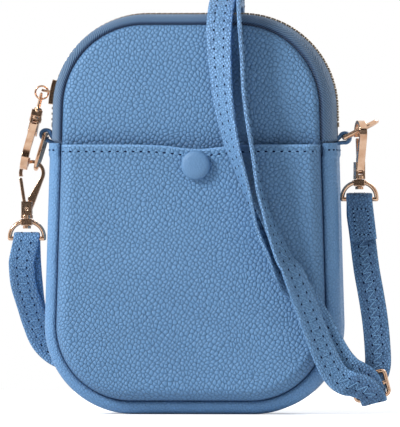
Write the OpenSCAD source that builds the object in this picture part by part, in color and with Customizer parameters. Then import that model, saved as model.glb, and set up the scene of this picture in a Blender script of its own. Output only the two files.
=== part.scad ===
// Small crossbody phone pouch: a soft bag with an arched zip, a front pocket with a magnetic
// snap, side tabs with D-rings, and a doubled, adjustable strap on two swivel snap hooks.
// The bag stands on its flat base. X runs to the right, Y to the back, Z up, and the
// origin is the middle of the base.

/* [Bag body] */
// Width of the bag across the lower corners
body_w = 137; // [134:1:142]
// How much narrower the bag is across the upper corners
top_taper = 6; // [3:0.5:9]
// Height of the bag
body_h = 184.5; // [180:0.5:190]
// Radius of the upper corners
top_corner_r = 44; // [42:1:46]
// Radius of the lower corners
base_corner_r = 41; // [38:1:44]
// Depth between the front and back seams
gusset_d = 40; // [38:1:44]
// How far the panel seams lie inside the silhouette
seam_inset = 6.5; // [6:0.5:8]
// How deep the side strip rounds over towards a seam
seam_round = 7; // [6:0.5:9]
// Height at which the zip tape begins, as a share of the bag's height
gusset_top_share = 0.6775; // [0.665:0.0025:0.69]
// Gap through which a tab is sewn, between the side strip and the tape
tab_gap = 1.6; // [1.5:0.1:2]
// Width of the seam allowance that turns in under a panel
seam_lip = 4; // [3:0.5:5]

/* [Leather and lining] */
// Thickness of the front and back leather
panel_t = 1.6; // [1.2:0.1:2]
// Thickness of the side strip
gusset_t = 1.4; // [1.2:0.1:1.6]
// Thickness of the foam behind a panel
foam_t = 2.2; // [1.8:0.1:2.3]
// Thickness of the lining cloth
lining_t = 0.6; // [0.4:0.1:0.8]

/* [Front pocket] */
// How far the pocket hem lies below the end of the side strip
pocket_drop = 1; // [0:0.5:10]
// Free depth of the pocket
pocket_gap = 5; // [4.6:0.1:5.6]
// Thickness of the pocket leather
pocket_t = 1.4; // [1.2:0.1:1.6]

/* [Magnetic snap] */
// How far the middle of the snap lies below the pocket hem
snap_drop = 9.3; // [8.8:0.1:24]
// How far the snap is sewn in to the right of the pocket's middle
snap_side = 1.8; // [-4:0.1:3]
// Diameter of the covered cap
snap_cap_d = 13.5; // [12:0.5:15]
// Height of the covered cap
snap_cap_h = 3; // [2.4:0.1:3.6]
// Diameter of the magnet halves
snap_d = 14; // [12:0.5:15]
// Thickness of the half in the front panel
snap_stud_t = 1.8; // [1.6:0.1:2]
// Diameter of the prong that passes through the leather
snap_post_d = 3; // [2.5:0.1:4]

/* [Zip] */
// Thickness of the zip tape
tape_t = 0.8; // [0.6:0.1:1]
// Half width of the slit between the two tapes
tape_slit = 2; // [1.8:0.1:2.2]
// Spacing of the teeth on one tape
tooth_pitch = 2.54; // [2.4:0.02:2.7]
// Width of one tooth along the chain
tooth_w = 1.05; // [0.9:0.05:1.1]
// Length of one tooth across the chain
tooth_l = 3.5; // [3.3:0.1:3.8]
// Height of one tooth
tooth_h = 2.4; // [2:0.1:2.6]
// Angle of the slider on the left corner, up from the horizontal
slider_rise = 10.4; // [8:0.1:14]
// Height over the side strip from which the slider's angle counts, room for the pull below it
pull_room = 15.50125;
// Length of the slider
slider_l = 11; // [10:0.5:12]
// Width of the slider
slider_w = 11.6; // [11.4:0.1:12.2]
// Thickness of a slider wing
slider_t = 1.2; // [1:0.1:1.4]

/* [D-rings and tabs] */
// Wire diameter of a D-ring
ring_wire = 2.2; // [2:0.1:2.4]
// Half width of a D-ring, to the middle of its wire
ring_half_w = 6.7; // [6.5:0.1:7]
// Reach of a D-ring, from its bar to its far side
ring_reach = 16.4; // [16:0.1:16.8]
// Width of the leather tab
tab_w = 10.4; // [9.6:0.2:10.8]
// Thickness of the tab leather
tab_t = 1.3; // [1.1:0.1:1.3]
// Outward lean of the left ring, from straight down
left_ring_lean = 17; // [16:0.5:18]
// Upward slope of the right ring
right_ring_slope = 27.5; // [26:0.5:30]

/* [Snap hooks] */
// Thickness of the hook frame
hook_t = 3.4; // [3.2:0.1:3.6]
// Wire width of the hook frame
hook_wire = 1.6; // [1.5:0.1:1.7]
// Outer radius of the round top of a hook
hook_r = 6.05; // [6:0.05:6.4]
// Length from the swivel to the middle of the round top
hook_l = 21; // [20.6:0.1:22]
// Sideways offset of the round top
hook_offset = 2.45; // [2.3:0.05:2.6]
// Diameter of the gate's pin
hook_pin_d = 1.4; // [1.2:0.1:1.5]
// Wire diameter of a strap loop
loop_wire = 2; // [1.8:0.1:2.2]
// Half width of a strap loop, to the middle of its wire
loop_half_w = 7.9; // [7.8:0.1:8.4]

/* [Strap] */
// Width of the strap
strap_w = 12; // [11:0.2:12.6]
// Thickness of the strap
strap_t = 2; // [1.8:0.1:2.2]
// Length of the sewn flap under the right hook
flap_l = 19; // [15:1:22]
// Wire diameter of the strap slide
slide_wire = 2; // [1.8:0.1:2.2]

/* [Hidden] */

$fn = 48;
// Overrun of every cut past its faces
over = 1;
// Free play between pieces that only lie beside each other
play = 0.3;
// Radial clearance of a pin or post in its hole
fit = 0.05;

leather = [0.42, 0.60, 0.82];
leather_dark = [0.33, 0.50, 0.73];
cloth = [0.45, 0.58, 0.72];
gold = [0.86, 0.73, 0.60];
foam = [0.86, 0.87, 0.88];

// The outline of the bag is four corner circles and the lines that join them.
half_d = gusset_d / 2;
top_w = body_w - top_taper;
gusset_top = body_h * gusset_top_share;
pocket_top = gusset_top - pocket_drop;
snap_z = pocket_top - snap_drop;
corner_x = top_w / 2 - top_corner_r;
corner_z = body_h - top_corner_r;
base_x = body_w / 2 - base_corner_r;
base_z = base_corner_r;
side_run = [corner_x - base_x, corner_z - base_z];
// Direction in which the straight side faces
side_a = atan2(side_run.y, side_run.x) - acos((base_corner_r - top_corner_r) / norm(side_run));
arc_steps = 9;

function spot(x, z, r, a) = [x + r * cos(a), z + r * sin(a), a];
function flip(s) = [-s.x, s.y, 180 - s.z];
function turned(list) = [for (i = [len(list) - 1:-1:0]) list[i]];
side_low = spot(base_x, base_z, base_corner_r, side_a);
side_high = spot(corner_x, corner_z, top_corner_r, side_a);
function side_at(z) = side_low + (side_high - side_low) * (z - side_low.y) / (side_high.y - side_low.y);
function base_arc() = [
    for (i = [0:arc_steps]) spot(base_x, base_z, base_corner_r, side_a - (90 + side_a) * i / arc_steps)
];
function top_arc() = [
    for (i = [0:arc_steps]) spot(corner_x, corner_z, top_corner_r, side_a + (90 - side_a) * i / arc_steps)
];
// The strip runs from the right end round the base to the left end
function strip_half() = concat([side_at(gusset_top)], base_arc());
strip_path = concat(strip_half(), [for (s = turned(strip_half())) flip(s)]);
// The tape runs from the right end over the arch to the left end
tape_foot = gusset_top + tab_gap;
function tape_half() = concat([side_at(tape_foot)], top_arc());
tape_path = concat(tape_half(), [for (s = turned(tape_half())) flip(s)]);

function off(s, d, y) = [s.x - d * cos(s.z), y, s.y - d * sin(s.z)];
function outline(d) = [
    for (s = concat(top_arc(), [for (s = turned(top_arc())) flip(s)],
                    [for (s = base_arc()) flip(s)], turned(base_arc())))
        [s.x - d * cos(s.z), s.y - d * sin(s.z)]
];

// A solid swept through closed rings of points, capped at both ends
module swept(rings) {
    n = len(rings[0]);
    last = len(rings) - 1;
    walls = [
        for (i = [0:last - 1], j = [0:n - 1])
            let (a = i * n + j, b = i * n + (j + 1) % n) each [[a, b, b + n], [a, b + n, a + n]]
    ];
    // Point j faces point n - 1 - j across the wall, so the ends are closed in pairs
    caps = [
        for (j = [0:n / 2 - 2])
            let (k = n - 1 - j, m = last * n)
                each [
                    [j, k, j + 1], [k, k - 1, j + 1],
                    [m + j, m + j + 1, m + k], [m + k, m + j + 1, m + k - 1]
                ]
    ];
    polyhedron([for (r = rings) each r], concat(walls, caps));
}

// A flat sheet of the bag's outline, from y_front backwards
module sheet(inset, y_front, t) {
    translate([0, y_front + t, 0])
        rotate([90, 0, 0])
            linear_extrude(t)
                polygon(outline(inset));
}

// Cross-section of a strip that rounds over to a seam: o is the depth below its outer face
round_steps = 3;
function rounding(o) = [
    for (i = [0:round_steps])
        let (t = 90 * i / round_steps)
            [seam_inset - (seam_inset - o) * sin(t), -half_d + seam_round - (seam_round - o) * cos(t)]
];
function to_back(list) = [for (p = turned(list)) [p.x, -p.y]];
function rounded_side(o, lip) = concat(lip > 0 ? [[seam_inset + lip, -half_d + o]] : [], rounding(o));
function strip_section(o, t, lip) = concat(
    rounded_side(o, lip), to_back(rounded_side(o, lip)),
    turned(to_back(rounded_side(o + t, lip))), turned(rounded_side(o + t, lip))
);
module strip(o, t, lip) {
    swept([for (s = strip_path) [for (p = strip_section(o, t, lip)) off(s, p.x, p.y)]]);
}

module front_panel() {
    color(leather)
        difference() {
            sheet(seam_inset, -half_d - panel_t, panel_t);
            snap_bore(snap_post_d / 2 + fit);
        }
}

module back_panel() {
    color(leather)
        sheet(seam_inset, half_d, panel_t);
}

module side_strip() {
    color(leather)
        strip(0, gusset_t, seam_lip);
}

foam_inset = seam_inset + seam_lip + play;
module foam_sheet() {
    sheet(foam_inset, -half_d, foam_t);
}

module front_foam() {
    color(foam)
        difference() {
            foam_sheet();
            at_snap(-half_d)
                cylinder(d = snap_d + 2 * play, h = washer_t + play);
        }
}

module back_foam() {
    color(foam)
        mirror([0, 1, 0])
            foam_sheet();
}

// The lining lies under the foam and under the tails of the tabs
lining_o = gusset_t + tab_t + play;
lining_y = -half_d + lining_o + lining_t;
module lining_sheet() {
    sheet(seam_inset, lining_y, lining_t);
}

module front_lining() {
    color(cloth)
        lining_sheet();
}

module back_lining() {
    color(cloth)
        mirror([0, 1, 0])
            lining_sheet();
}

module side_lining() {
    color(cloth)
        strip(lining_o, lining_t, 0);
}

// The pocket is a leather sheet held off the panel by its turned-in edge
pocket_y = -half_d - panel_t - pocket_gap - pocket_t;
pocket_edge = 1.2;
module below_hem(lower) {
    intersection() {
        children();
        translate([-body_w, -body_w, -over])
            cube([2 * body_w, 2 * body_w, pocket_top - lower + over]);
    }
}

module front_pocket() {
    color(leather)
        below_hem(0)
            difference() {
                sheet(seam_inset, pocket_y, pocket_t + pocket_gap);
                sheet(seam_inset + pocket_edge, pocket_y + pocket_t, pocket_gap + over);
                snap_bore(snap_post_d / 2 + fit);
            }
}

module pocket_lining() {
    color(cloth)
        below_hem(hem_drop)
            difference() {
                sheet(seam_inset + pocket_edge + play, pocket_y + pocket_t, pocket_lining_t);
                at_snap(pocket_y)
                    cylinder(d = snap_d + 2 * play, h = pocket_t + pocket_gap);
            }
}
hem_drop = 1;
pocket_lining_t = 0.4;

// The snap: its axis runs along Y, and local Z points to the back
module at_snap(y) {
    translate([snap_side, y, snap_z])
        rotate([-90, 0, 0])
            children();
}

module snap_bore(r) {
    at_snap(pocket_y - over)
        cylinder(r = r, h = pocket_t + pocket_gap + panel_t + 2 * over);
}

washer_t = 0.6;
snap_rim = 0.5;
snap_nub_d = 4;
snap_nub_h = 1.4;
// Radius of the dome, so that its rim is as high as snap_rim
dome_rise = snap_cap_h - snap_rim;
dome_r = (pow(snap_cap_d / 2, 2) + pow(dome_rise, 2)) / (2 * dome_rise);
module snap_cap() {
    color(leather)
        at_snap(pocket_y)
            union() {
                rotate_extrude()
                    intersection() {
                        translate([0, dome_r - snap_cap_h])
                            circle(r = dome_r, $fn = 96);
                        translate([0, -snap_cap_h])
                            square([snap_cap_d / 2, snap_cap_h]);
                    }
                cylinder(d = snap_post_d, h = pocket_t);
            }
}

socket_t = pocket_gap - snap_stud_t - fit;
module snap_socket() {
    color(gold)
        at_snap(pocket_y + pocket_t)
            difference() {
                cylinder(d = snap_d, h = socket_t);
                translate([0, 0, socket_t - snap_nub_h - play])
                    cylinder(d = snap_nub_d + 2 * play, h = snap_nub_h + play + over);
            }
}

module snap_stud() {
    color(gold)
        at_snap(-half_d - panel_t - snap_stud_t)
            union() {
                cylinder(d = snap_d, h = snap_stud_t);
                translate([0, 0, -snap_nub_h])
                    cylinder(d = snap_nub_d, h = snap_nub_h + fit);
                cylinder(d = snap_post_d, h = snap_stud_t + panel_t);
            }
}

module snap_washer() {
    color(gold)
        at_snap(-half_d)
            cylinder(d = snap_d, h = washer_t);
}

// How far the tapes stand apart beside the slit: the zip is open past the slider's nose
open_half = 1.7;
open_end = 0.3;
open_run = 4;
nose_arc = 3.5;
slider_a = 180 - asin((gusset_top + pull_room - corner_z) / top_corner_r + sin(slider_rise));
function opening(a, z) = a < slider_a - nose_arc ? 0
    : a < slider_a + nose_arc ? open_half * (a - slider_a + nose_arc) / nose_arc / 2
    : open_end + (open_half - open_end) * min(1, max(0, (z - tape_foot - chain_lead) / open_run));

function tape_section(edge) = concat(
    rounded_side(0, seam_lip), [[0, -edge], [tape_t, -edge]], turned(rounded_side(tape_t, seam_lip))
);
module tape() {
    swept([for (s = turned(tape_path)) [for (p = tape_section(tape_slit)) off(s, p.x, p.y)]]);
}

module zip_tape_front() {
    color(cloth)
        tape();
}

module zip_tape_back() {
    color(cloth)
        mirror([0, 1, 0])
            tape();
}

// Places along the chain, by the distance from its right foot
side_len = norm([side_high.x, side_high.y] - [side_at(tape_foot).x, side_at(tape_foot).y]);
arc_len = top_corner_r * (90 - side_a) * PI / 180;
chain_len = 2 * side_len + 2 * arc_len + 2 * corner_x;
function chain_half(s) = s < side_len
    ? side_at(tape_foot) + (side_high - side_at(tape_foot)) * s / side_len
    : s < side_len + arc_len
    ? spot(corner_x, corner_z, top_corner_r, side_a + (s - side_len) / top_corner_r * 180 / PI)
    : [corner_x - (s - side_len - arc_len), body_h, 90];
function chain(s) = s <= chain_len / 2 ? chain_half(s) : flip(chain_half(chain_len - s));

module at_chain(c) {
    translate([c.x, 0, c.y])
        rotate([0, -c.z, 0])
            children();
}

tooth_out = 0.8;
tooth_lap = 0.45;
stop_l = 2.2;
stop_gap = 0.5;
chain_lead = 5.8;
module teeth(start) {
    first = chain_lead + stop_l + tooth_w;
    for (s = [start + first:tooth_pitch:chain_len - first]) {
        c = chain(s);
        shift = opening(c.z, c.y);
        at_chain(c)
            translate([tooth_out - tooth_h, -tooth_l + tooth_lap - shift, -tooth_w / 2])
                cube([tooth_h, tooth_l, tooth_w]);
    }
}

module zip_teeth_front() {
    color(gold)
        teeth(0);
}

module zip_teeth_back() {
    color(gold)
        mirror([0, 1, 0])
            teeth(tooth_pitch / 2);
}

module zip_stops() {
    color(gold) {
        at_chain(chain(chain_lead + stop_l / 2))
            translate([tooth_out - tooth_h, -tooth_l + tooth_lap, -stop_l / 2])
                cube([tooth_h, 2 * (tooth_l - tooth_lap), stop_l]);
        for (side = [-1, 1])
            at_chain(chain(chain_len - chain_lead - stop_l / 2))
                translate([tooth_out - tooth_h, side * (tape_slit + stop_gap) - stop_l / 4, -stop_l / 2])
                    cube([tooth_h, stop_l / 2, stop_l]);
    }
}

// The slider runs on the left corner, so it is turned about the corner's centre
slider_arc = slider_l / top_corner_r * 180 / PI;
slider_clear = 0.4;
wing_out = tooth_out + slider_clear;
wing_in = tooth_h - tooth_out + slider_clear;
flange_w = 0.9;
flange_gap = 0.5;
post_w = 2.2;
bail_rise = 6;
bail_wire = 1.2;
bail_half_w = 2.2;
module about_corner(a0, sweep) {
    translate([-corner_x, 0, corner_z])
        rotate([90, 0, 0])
            rotate([0, 0, a0])
                rotate_extrude(angle = sweep, $fn = 180)
                    translate([top_corner_r, 0])
                        children();
}

module zip_slider() {
    color(gold)
        union() {
            about_corner(slider_a - slider_arc / 2, slider_arc) {
                translate([wing_out, -slider_w / 2])
                    square([slider_t, slider_w]);
            }
            about_corner(slider_a - slider_arc / 2, slider_arc) {
                translate([-wing_in - slider_t, -slider_w / 2])
                    square([slider_t, slider_w]);
            }
            for (side = [-1, 1])
                about_corner(slider_a - slider_arc / 2, slider_arc) {
                    translate([flange_gap, side * (slider_w - flange_w) / 2 - flange_w / 2])
                        square([wing_out - flange_gap + fit, flange_w]);
                    translate([-wing_in - fit, side * (slider_w - flange_w) / 2 - flange_w / 2])
                        square([wing_in - tape_t - flange_gap + fit, flange_w]);
                }
            about_corner(slider_a + slider_arc / 4, slider_arc / 5)
                translate([-wing_in - fit, -post_w / 2])
                    square([wing_in + wing_out + 2 * fit, post_w]);
            at_slider() {
                for (side = [-1, 1])
                    translate([wing_out + slider_t / 2, side * bail_half_w, 0])
                        rotate([0, 90, 0])
                            cylinder(d = bail_wire, h = bail_rise - wing_out - slider_t / 2);
                translate([bail_rise, 0, 0])
                    rotate([90, 0, 0])
                        cylinder(d = bail_wire, h = 2 * bail_half_w + bail_wire, center = true);
            }
        }
}

// Local X points out of the bag at the slider, local Z down along the chain
slider_spot = spot(-corner_x, corner_z, top_corner_r, slider_a);
module at_slider() {
    at_chain(slider_spot)
        children();
}
bail = off(slider_spot, -bail_rise, 0);

// The ring in the bail, which hangs towards the slider's nose
zip_ring_r = 3;
zip_ring_wire = 0.9;
zip_ring_hang = 70;
zip_ring_throw = 1.15;
hang_a = slider_a + zip_ring_hang;
zip_ring_at = bail + zip_ring_throw * [cos(hang_a), 0, sin(hang_a)];
module zip_ring() {
    color(gold)
        translate(zip_ring_at)
            rotate([90, 0, 0])
                rotate_extrude($fn = 64)
                    translate([zip_ring_r, 0])
                        circle(d = zip_ring_wire, $fn = 24);
}

// The pull hangs from the ring, leaning out and forward, with its frame turned edge-on
pull_lean = 11.7;
pull_tilt = 24;
pull_wire = 1.3;
pull_half_w = 2.8;
pull_loop_l = 11.4;
pull_drop = zip_ring_r - zip_ring_wire / 2 - pull_wire / 2 - play / 2;
pull_top = zip_ring_at + [-play, 0, -pull_drop];
module at_pull() {
    translate(pull_top)
        rotate([0, pull_lean, 0])
            rotate([180 - pull_tilt, 0, 0])
                rotate([0, 0, 90])
                    translate([0, 0, pull_loop_l])
                        children();
}

module pull_loop() {
    color(gold)
        at_pull()
            hook_loop(pull_half_w, pull_half_w, pull_wire, pull_loop_l);
}

module pull_frame() {
    color(gold)
        at_pull()
            hook_frame();
}

module pull_gate() {
    color(gold)
        at_pull()
            hook_gate();
}

module pull_pin() {
    color(gold)
        at_pull()
            hook_pin();
}

// Two circles and the tapered bar that joins them
module taper(a, ra, b, rb) {
    d = norm(b - a);
    way = atan2(b.y - a.y, b.x - a.x);
    lean = acos((ra - rb) / d);
    translate(a)
        circle(r = ra);
    translate(b)
        circle(r = rb);
    polygon([
        a + ra * [cos(way + lean), sin(way + lean)], a + ra * [cos(way - lean), sin(way - lean)],
        b + rb * [cos(way - lean), sin(way - lean)], b + rb * [cos(way + lean), sin(way + lean)]
    ]);
}

// Extrudes a shape drawn in the hook's X-Z plane, centred on Y
module upright(t) {
    translate([0, t / 2, 0])
        rotate([90, 0, 0])
            linear_extrude(t)
                children();
}

// Hook parts stand on the swivel: local Z runs up the hook, X towards its spine
collar_d = 5.6;
collar_h = 1.5;
body_half_w = 2.5;
body_top = 7.9;
body_t = 4.4;
pin_z = 4.3;
gate_t = 1.8;
gate_wire = 1.5;
gate_slot = gate_t + play;
nose_drop = 1.6;
nose_z = hook_l - nose_drop;
throat_z = 10.6;
neck_d = 2.4;
neck_l = 3.4;
head_d = 3.8;
head_h = 1.3;
hook_top = [hook_offset, hook_l];
gate_drop = 1.3;
gate_tip = [hook_offset - hook_r + hook_wire / 2, nose_z - gate_drop];
module hook_frame() {
    difference() {
        union() {
            upright(hook_t)
                difference() {
                    taper(hook_top, hook_r, [0, pin_z], body_half_w);
                    taper(hook_top, hook_r - hook_wire, [hook_wire / 3, throat_z], hook_wire / 2);
                    translate([hook_offset - 2 * hook_r, pin_z])
                        square([2 * hook_r - hook_offset + hook_wire / 3, nose_z - pin_z]);
                }
            upright(body_t)
                translate([-body_half_w, 0])
                    square([2 * body_half_w, body_top]);
            cylinder(d = collar_d, h = collar_h);
            translate([0, 0, -neck_l])
                cylinder(d = neck_d, h = neck_l + over);
            translate([0, 0, -neck_l - head_h])
                cylinder(d = head_d, h = head_h);
        }
        upright(gate_slot)
            translate([-body_half_w - over, pin_z - body_half_w + play])
                square([2 * body_half_w + over, body_top]);
        translate([0, 0, pin_z])
            rotate([90, 0, 0])
                cylinder(d = hook_pin_d, h = body_t + over, center = true);
    }
}

module hook_gate() {
    difference() {
        union() {
            upright(gate_t)
                taper([0, pin_z], body_half_w - 2 * play, [-body_half_w / 2, body_top], gate_wire / 2);
            upright(gate_t)
                taper([-body_half_w / 2, body_top], gate_wire / 2, gate_tip, gate_wire / 2);
        }
        translate([0, 0, pin_z])
            rotate([90, 0, 0])
                cylinder(d = hook_pin_d + 2 * fit, h = body_t, center = true);
    }
}

module hook_pin() {
    translate([0, 0, pin_z])
        rotate([90, 0, 0])
            cylinder(d = hook_pin_d, h = body_t, center = true);
}

// The loop: an eye block on the swivel's neck and a bent wire that closes on a bar below
eye_gap = 0.15;
eye_h = neck_l - 2 * eye_gap;
eye_w = 5;
module hook_loop(half_w, bend, wire, reach) {
    difference() {
        union() {
            translate([-eye_w / 2, -eye_w / 2, -eye_gap - eye_h])
                cube([eye_w, eye_w, eye_h]);
            for (side = [-1, 1]) {
                translate([side * half_w, 0, -reach])
                    cylinder(d = wire, h = reach - bend - eye_h / 2);
                translate([side * (half_w - bend), 0, -bend - eye_h / 2])
                    rotate([90, 0, 0])
                        rotate([0, 0, side > 0 ? 0 : 90])
                            rotate_extrude(angle = 90, $fn = 64)
                                translate([bend, 0])
                                    circle(d = wire, $fn = 24);
                translate([side * half_w, 0, -reach])
                    sphere(d = wire, $fn = 24);
            }
            translate([0, 0, -reach])
                rotate([0, 90, 0])
                    cylinder(d = wire, h = 2 * half_w, center = true);
            translate([0, 0, -eye_h / 2])
                rotate([0, 90, 0])
                    cylinder(d = wire, h = 2 * (half_w - bend) + eye_w, center = true);
        }
        translate([0, 0, -neck_l])
            cylinder(d = neck_d + 2 * fit, h = neck_l + over);
        translate([0, 0, -neck_l - head_h - over])
            cylinder(d = head_d + 2 * fit, h = head_h + over + eye_gap);
    }
}

// The bars of the D-rings lie in leather loops just outside the sides
tab_bore_play = 0.6;
tab_tail = 9;
tab_r = ring_wire / 2 + tab_bore_play;
tab_out = tab_r + tab_t + play;
left_tab_z = tape_foot + tab_r + tab_t / 2;
right_tab_z = tape_foot + tab_r / 2;
left_pivot = [-side_at(left_tab_z).x - tab_out, 0, left_tab_z];
right_pivot = [side_at(right_tab_z).x + tab_out, 0, right_tab_z];

// The left hook hangs face-on below the left ring, the right one is turned to its side
left_far = left_pivot - ring_reach * [sin(left_ring_lean), 0, cos(left_ring_lean)];
left_hook_hang = [1.75, 0, 2.05];
left_hook_at = left_far - left_hook_hang - [hook_offset, 0, hook_l];
right_hook_hang = [-6.8, 4.5, 19.1];
right_hook_at = right_pivot - right_hook_hang;
right_hook_angle = -74;
loop_reach = 9.25;
wire_slack = 0.8;
module at_left_hook() {
    translate(left_hook_at)
        children();
}

module at_right_hook(turn) {
    translate(right_hook_at)
        rotate([0, 0, turn])
            children();
}

module left_hook_loop() {
    color(gold)
        at_left_hook()
            hook_loop(loop_half_w, loop_half_w - wire_slack, loop_wire, loop_reach);
}

module left_hook_frame() {
    color(gold)
        at_left_hook()
            hook_frame();
}

module left_hook_gate() {
    color(gold)
        at_left_hook()
            hook_gate();
}

module left_hook_pin() {
    color(gold)
        at_left_hook()
            hook_pin();
}

module right_hook_loop() {
    color(gold)
        at_right_hook(0)
            hook_loop(loop_half_w, loop_half_w - wire_slack, loop_wire, loop_reach);
}

module right_hook_frame() {
    color(gold)
        at_right_hook(right_hook_angle)
            hook_frame();
}

module right_hook_gate() {
    color(gold)
        at_right_hook(right_hook_angle)
            hook_gate();
}

module right_hook_pin() {
    color(gold)
        at_right_hook(right_hook_angle)
            hook_pin();
}

// A D-ring about its bar: the bar lies along Y, the ring reaches along local X
module d_ring() {
    rotate([90, 0, 0])
        cylinder(d = ring_wire, h = 2 * ring_half_w, center = true);
    for (side = [0, 1])
        mirror([0, side, 0]) {
            translate([0, ring_half_w, 0])
                rotate([0, 90, 0])
                    cylinder(d = ring_wire, h = ring_reach - ring_half_w);
            translate([0, ring_half_w, 0])
                sphere(d = ring_wire, $fn = 24);
            translate([ring_reach - ring_half_w, 0, 0])
                rotate_extrude(angle = 90, $fn = 64)
                    translate([ring_half_w, 0])
                        circle(d = ring_wire, $fn = 24);
        }
}

// A tab: a leather loop round the ring's bar and a tail sewn in behind the side strip
module tab(pivot) {
    sewn = side_at(gusset_top);
    difference() {
        union() {
            translate(pivot)
                rotate([90, 0, 0])
                    cylinder(r = tab_r + tab_t, h = tab_w, center = true);
            translate([sewn.x - gusset_t - tab_t, -tab_w / 2, gusset_top + tab_gap / 2 - tab_t / 2])
                cube([pivot.x - sewn.x + gusset_t + tab_t, tab_w, tab_t]);
            translate([sewn.x - gusset_t - tab_t, -tab_w / 2, gusset_top - tab_tail])
                cube([tab_t - play / 2, tab_w, tab_tail + tab_t]);
        }
        translate(pivot)
            rotate([90, 0, 0])
                cylinder(r = tab_r, h = tab_w + over, center = true);
    }
}

module right_tab() {
    color(leather_dark)
        tab(right_pivot);
}

module left_tab() {
    color(leather_dark)
        mirror([1, 0, 0])
            tab([-left_pivot.x, 0, left_pivot.z]);
}

module right_d_ring() {
    color(gold)
        translate(right_pivot)
            rotate([0, -right_ring_slope, 0])
                d_ring();
}

module left_d_ring() {
    color(gold)
        translate(left_pivot)
            rotate([0, 90 + left_ring_lean, 0])
                d_ring();
}

// Strap: a row of a route is a place and a width direction
function lerp(a, b, f) = a + (b - a) * f;
function bend(p0, p1, p2, p3, f) = 0.5 * (2 * p1 + (p2 - p0) * f
    + (2 * p0 - 5 * p1 + 4 * p2 - p3) * f * f + (3 * p1 - p0 - 3 * p2 + p3) * f * f * f);
route_steps = 3;
function smooth(r) = [
    for (i = [0:len(r) - 2], k = [0:route_steps - 1])
        bend(r[max(i - 1, 0)], r[i], r[i + 1], r[min(i + 2, len(r) - 1)], k / route_steps),
    r[len(r) - 1]
];
function place(row) = [row[0], row[1], row[2]];
function across(row) = [row[3], row[4], row[5]];
// The same places with the band's two edges changed over, as after half a twist
function half_twisted(rows) = [for (r = rows) concat(place(r), -across(r))];
function unit(v) = v / norm(v);
// First and final are the directions of the strap at the two ends, where another piece meets it
module ribbon(rows, first, final) {
    last = len(rows) - 1;
    swept([
        for (i = [0:last])
            let (
                p = place(rows[i]),
                run = place(rows[min(i + 1, last)]) - place(rows[max(i - 1, 0)]),
                t = i == 0 && !is_undef(first) ? first : i == last && !is_undef(final) ? final : unit(run),
                n = unit(cross(t, across(rows[i]))),
                w = cross(n, t) * strap_w / 2,
                h = n * strap_t / 2
            )
                [p - w + h, p + w + h, p + w - h, p - w - h]
    ]);
}

// Places of the free spans, each with its width direction. They are shares of half the bag's
// width, of the depth of the face that the strap lies on, and of a height
front_sewn_shares = [
    [0.204, 0, 1.049, 1, 0, 0],
    [0.199, -0.357, 1.041, 1, 0, 0],
    [0.19, -0.679, 1.016, 1, -0.1, 0],
    [0.181, -0.893, 0.969, 0.98, -0.17, 0],
    [0.185, -1, 0.905, 0.93, -0.37, 0],
    [0.199, -1.054, 0.836, 0.82, -0.57, 0],
    [0.219, -1.107, 0.769, 0.74, -0.67, 0],
    [0.263, -1.179, 0.688, 0.59, -0.81, 0],
    [0.298, -1.243, 0.646, 0.48, -0.88, 0],
    [0.374, -1.268, 0.558, 0.26, -0.97, 0],
    [0.455, -1.268, 0.468, -0.17, -0.98, 0],
    [0.531, -1.257, 0.398, -0.17, -0.98, 0],
    [0.599, -1.214, 0.358, -0.64, -0.77, 0],
    [0.679, -1.129, 0.325, -0.94, -0.3, 0],
    [0.759, -1.068, 0.293, -1, -0.05, 0],
    [0.86, -1.061, 0.229, -1, 0, 0],
    [0.931, -1.057, 0.18, -1, 0, 0],
    [1, -1.054, 0.138, -1, 0, 0],
    [1.066, -1.05, 0.112, -1, 0, 0]
];
front_run_shares = [
    [0.307, 0, 1.051, 0, 0, -1],
    [0.307, -0.393, 1.046, 0, 0.25, -0.97],
    [0.309, -0.821, 1.027, 0, 0.6, -0.8],
    [0.321, -1.029, 0.969, 0, 0.9, -0.3],
    [0.339, -1.05, 0.894, 0, 1, 0],
    [0.35, -1.107, 0.813, 0, 1, 0],
    [0.377, -1.193, 0.736, 0, 1, 0],
    [0.418, -1.25, 0.646, 0, 1, 0],
    [0.458, -1.264, 0.558, 0.1, 0.99, 0],
    [0.505, -1.286, 0.502, 0.2, 0.98, 0],
    [0.537, -1.304, 0.468, 0.34, 0.94, 0],
    [0.622, -1.321, 0.39, 0.6, 0.8, 0],
    [0.676, -1.321, 0.36, 0.77, 0.64, 0],
    [0.745, -1.304, 0.298, 0.87, 0.5, 0],
    [0.813, -1.286, 0.229, 0.88, 0.47, 0],
    [0.883, -1.25, 0.163, 0.93, 0.37, 0],
    [0.946, -1.225, 0.113, 0.97, 0.26, 0],
    [1.013, -1.2, 0.086, 0.99, 0.15, 0],
    [1.088, -1.179, 0.077, 1, 0, 0]
];
right_shares = [
    [1.109, -0.118, 0.928, 1, 0, 0],
    [1.127, -0.15, 0.848, 1, 0, 0],
    [1.143, -0.229, 0.763, 1, 0, 0],
    [1.162, -0.321, 0.67, 1, 0, 0],
    [1.193, -0.429, 0.558, 1, 0, 0],
    [1.22, -0.543, 0.444, 1, 0, 0],
    [1.238, -0.65, 0.333, 1, 0, 0],
    [1.244, -0.729, 0.232, 1, 0, 0],
    [1.219, -0.768, 0.172, 1, 0, 0],
    [1.21, -0.786, 0.131, 1, 0, 0],
    [1.212, -0.825, 0.104, 1, 0, 0]
];
left_sewn_shares = [
    [-1.18, 0.046, 0.865, 1, 0, 0],
    [-1.174, 0.324, 0.741, 1, 0, 0],
    [-1.139, 0.648, 0.618, 1, 0, 0],
    [-1.099, 0.972, 0.494, 1, 0, 0],
    [-1.029, 1.181, 0.389, 0.8, 0, 0.5],
    [-0.92, 1.204, 0.327, 0.5, 0, 0.85],
    [-0.788, 1.181, 0.346, -0.3, 0, 0.95],
    [-0.672, 1.157, 0.445, -0.8, 0, 0.6]
];
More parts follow.
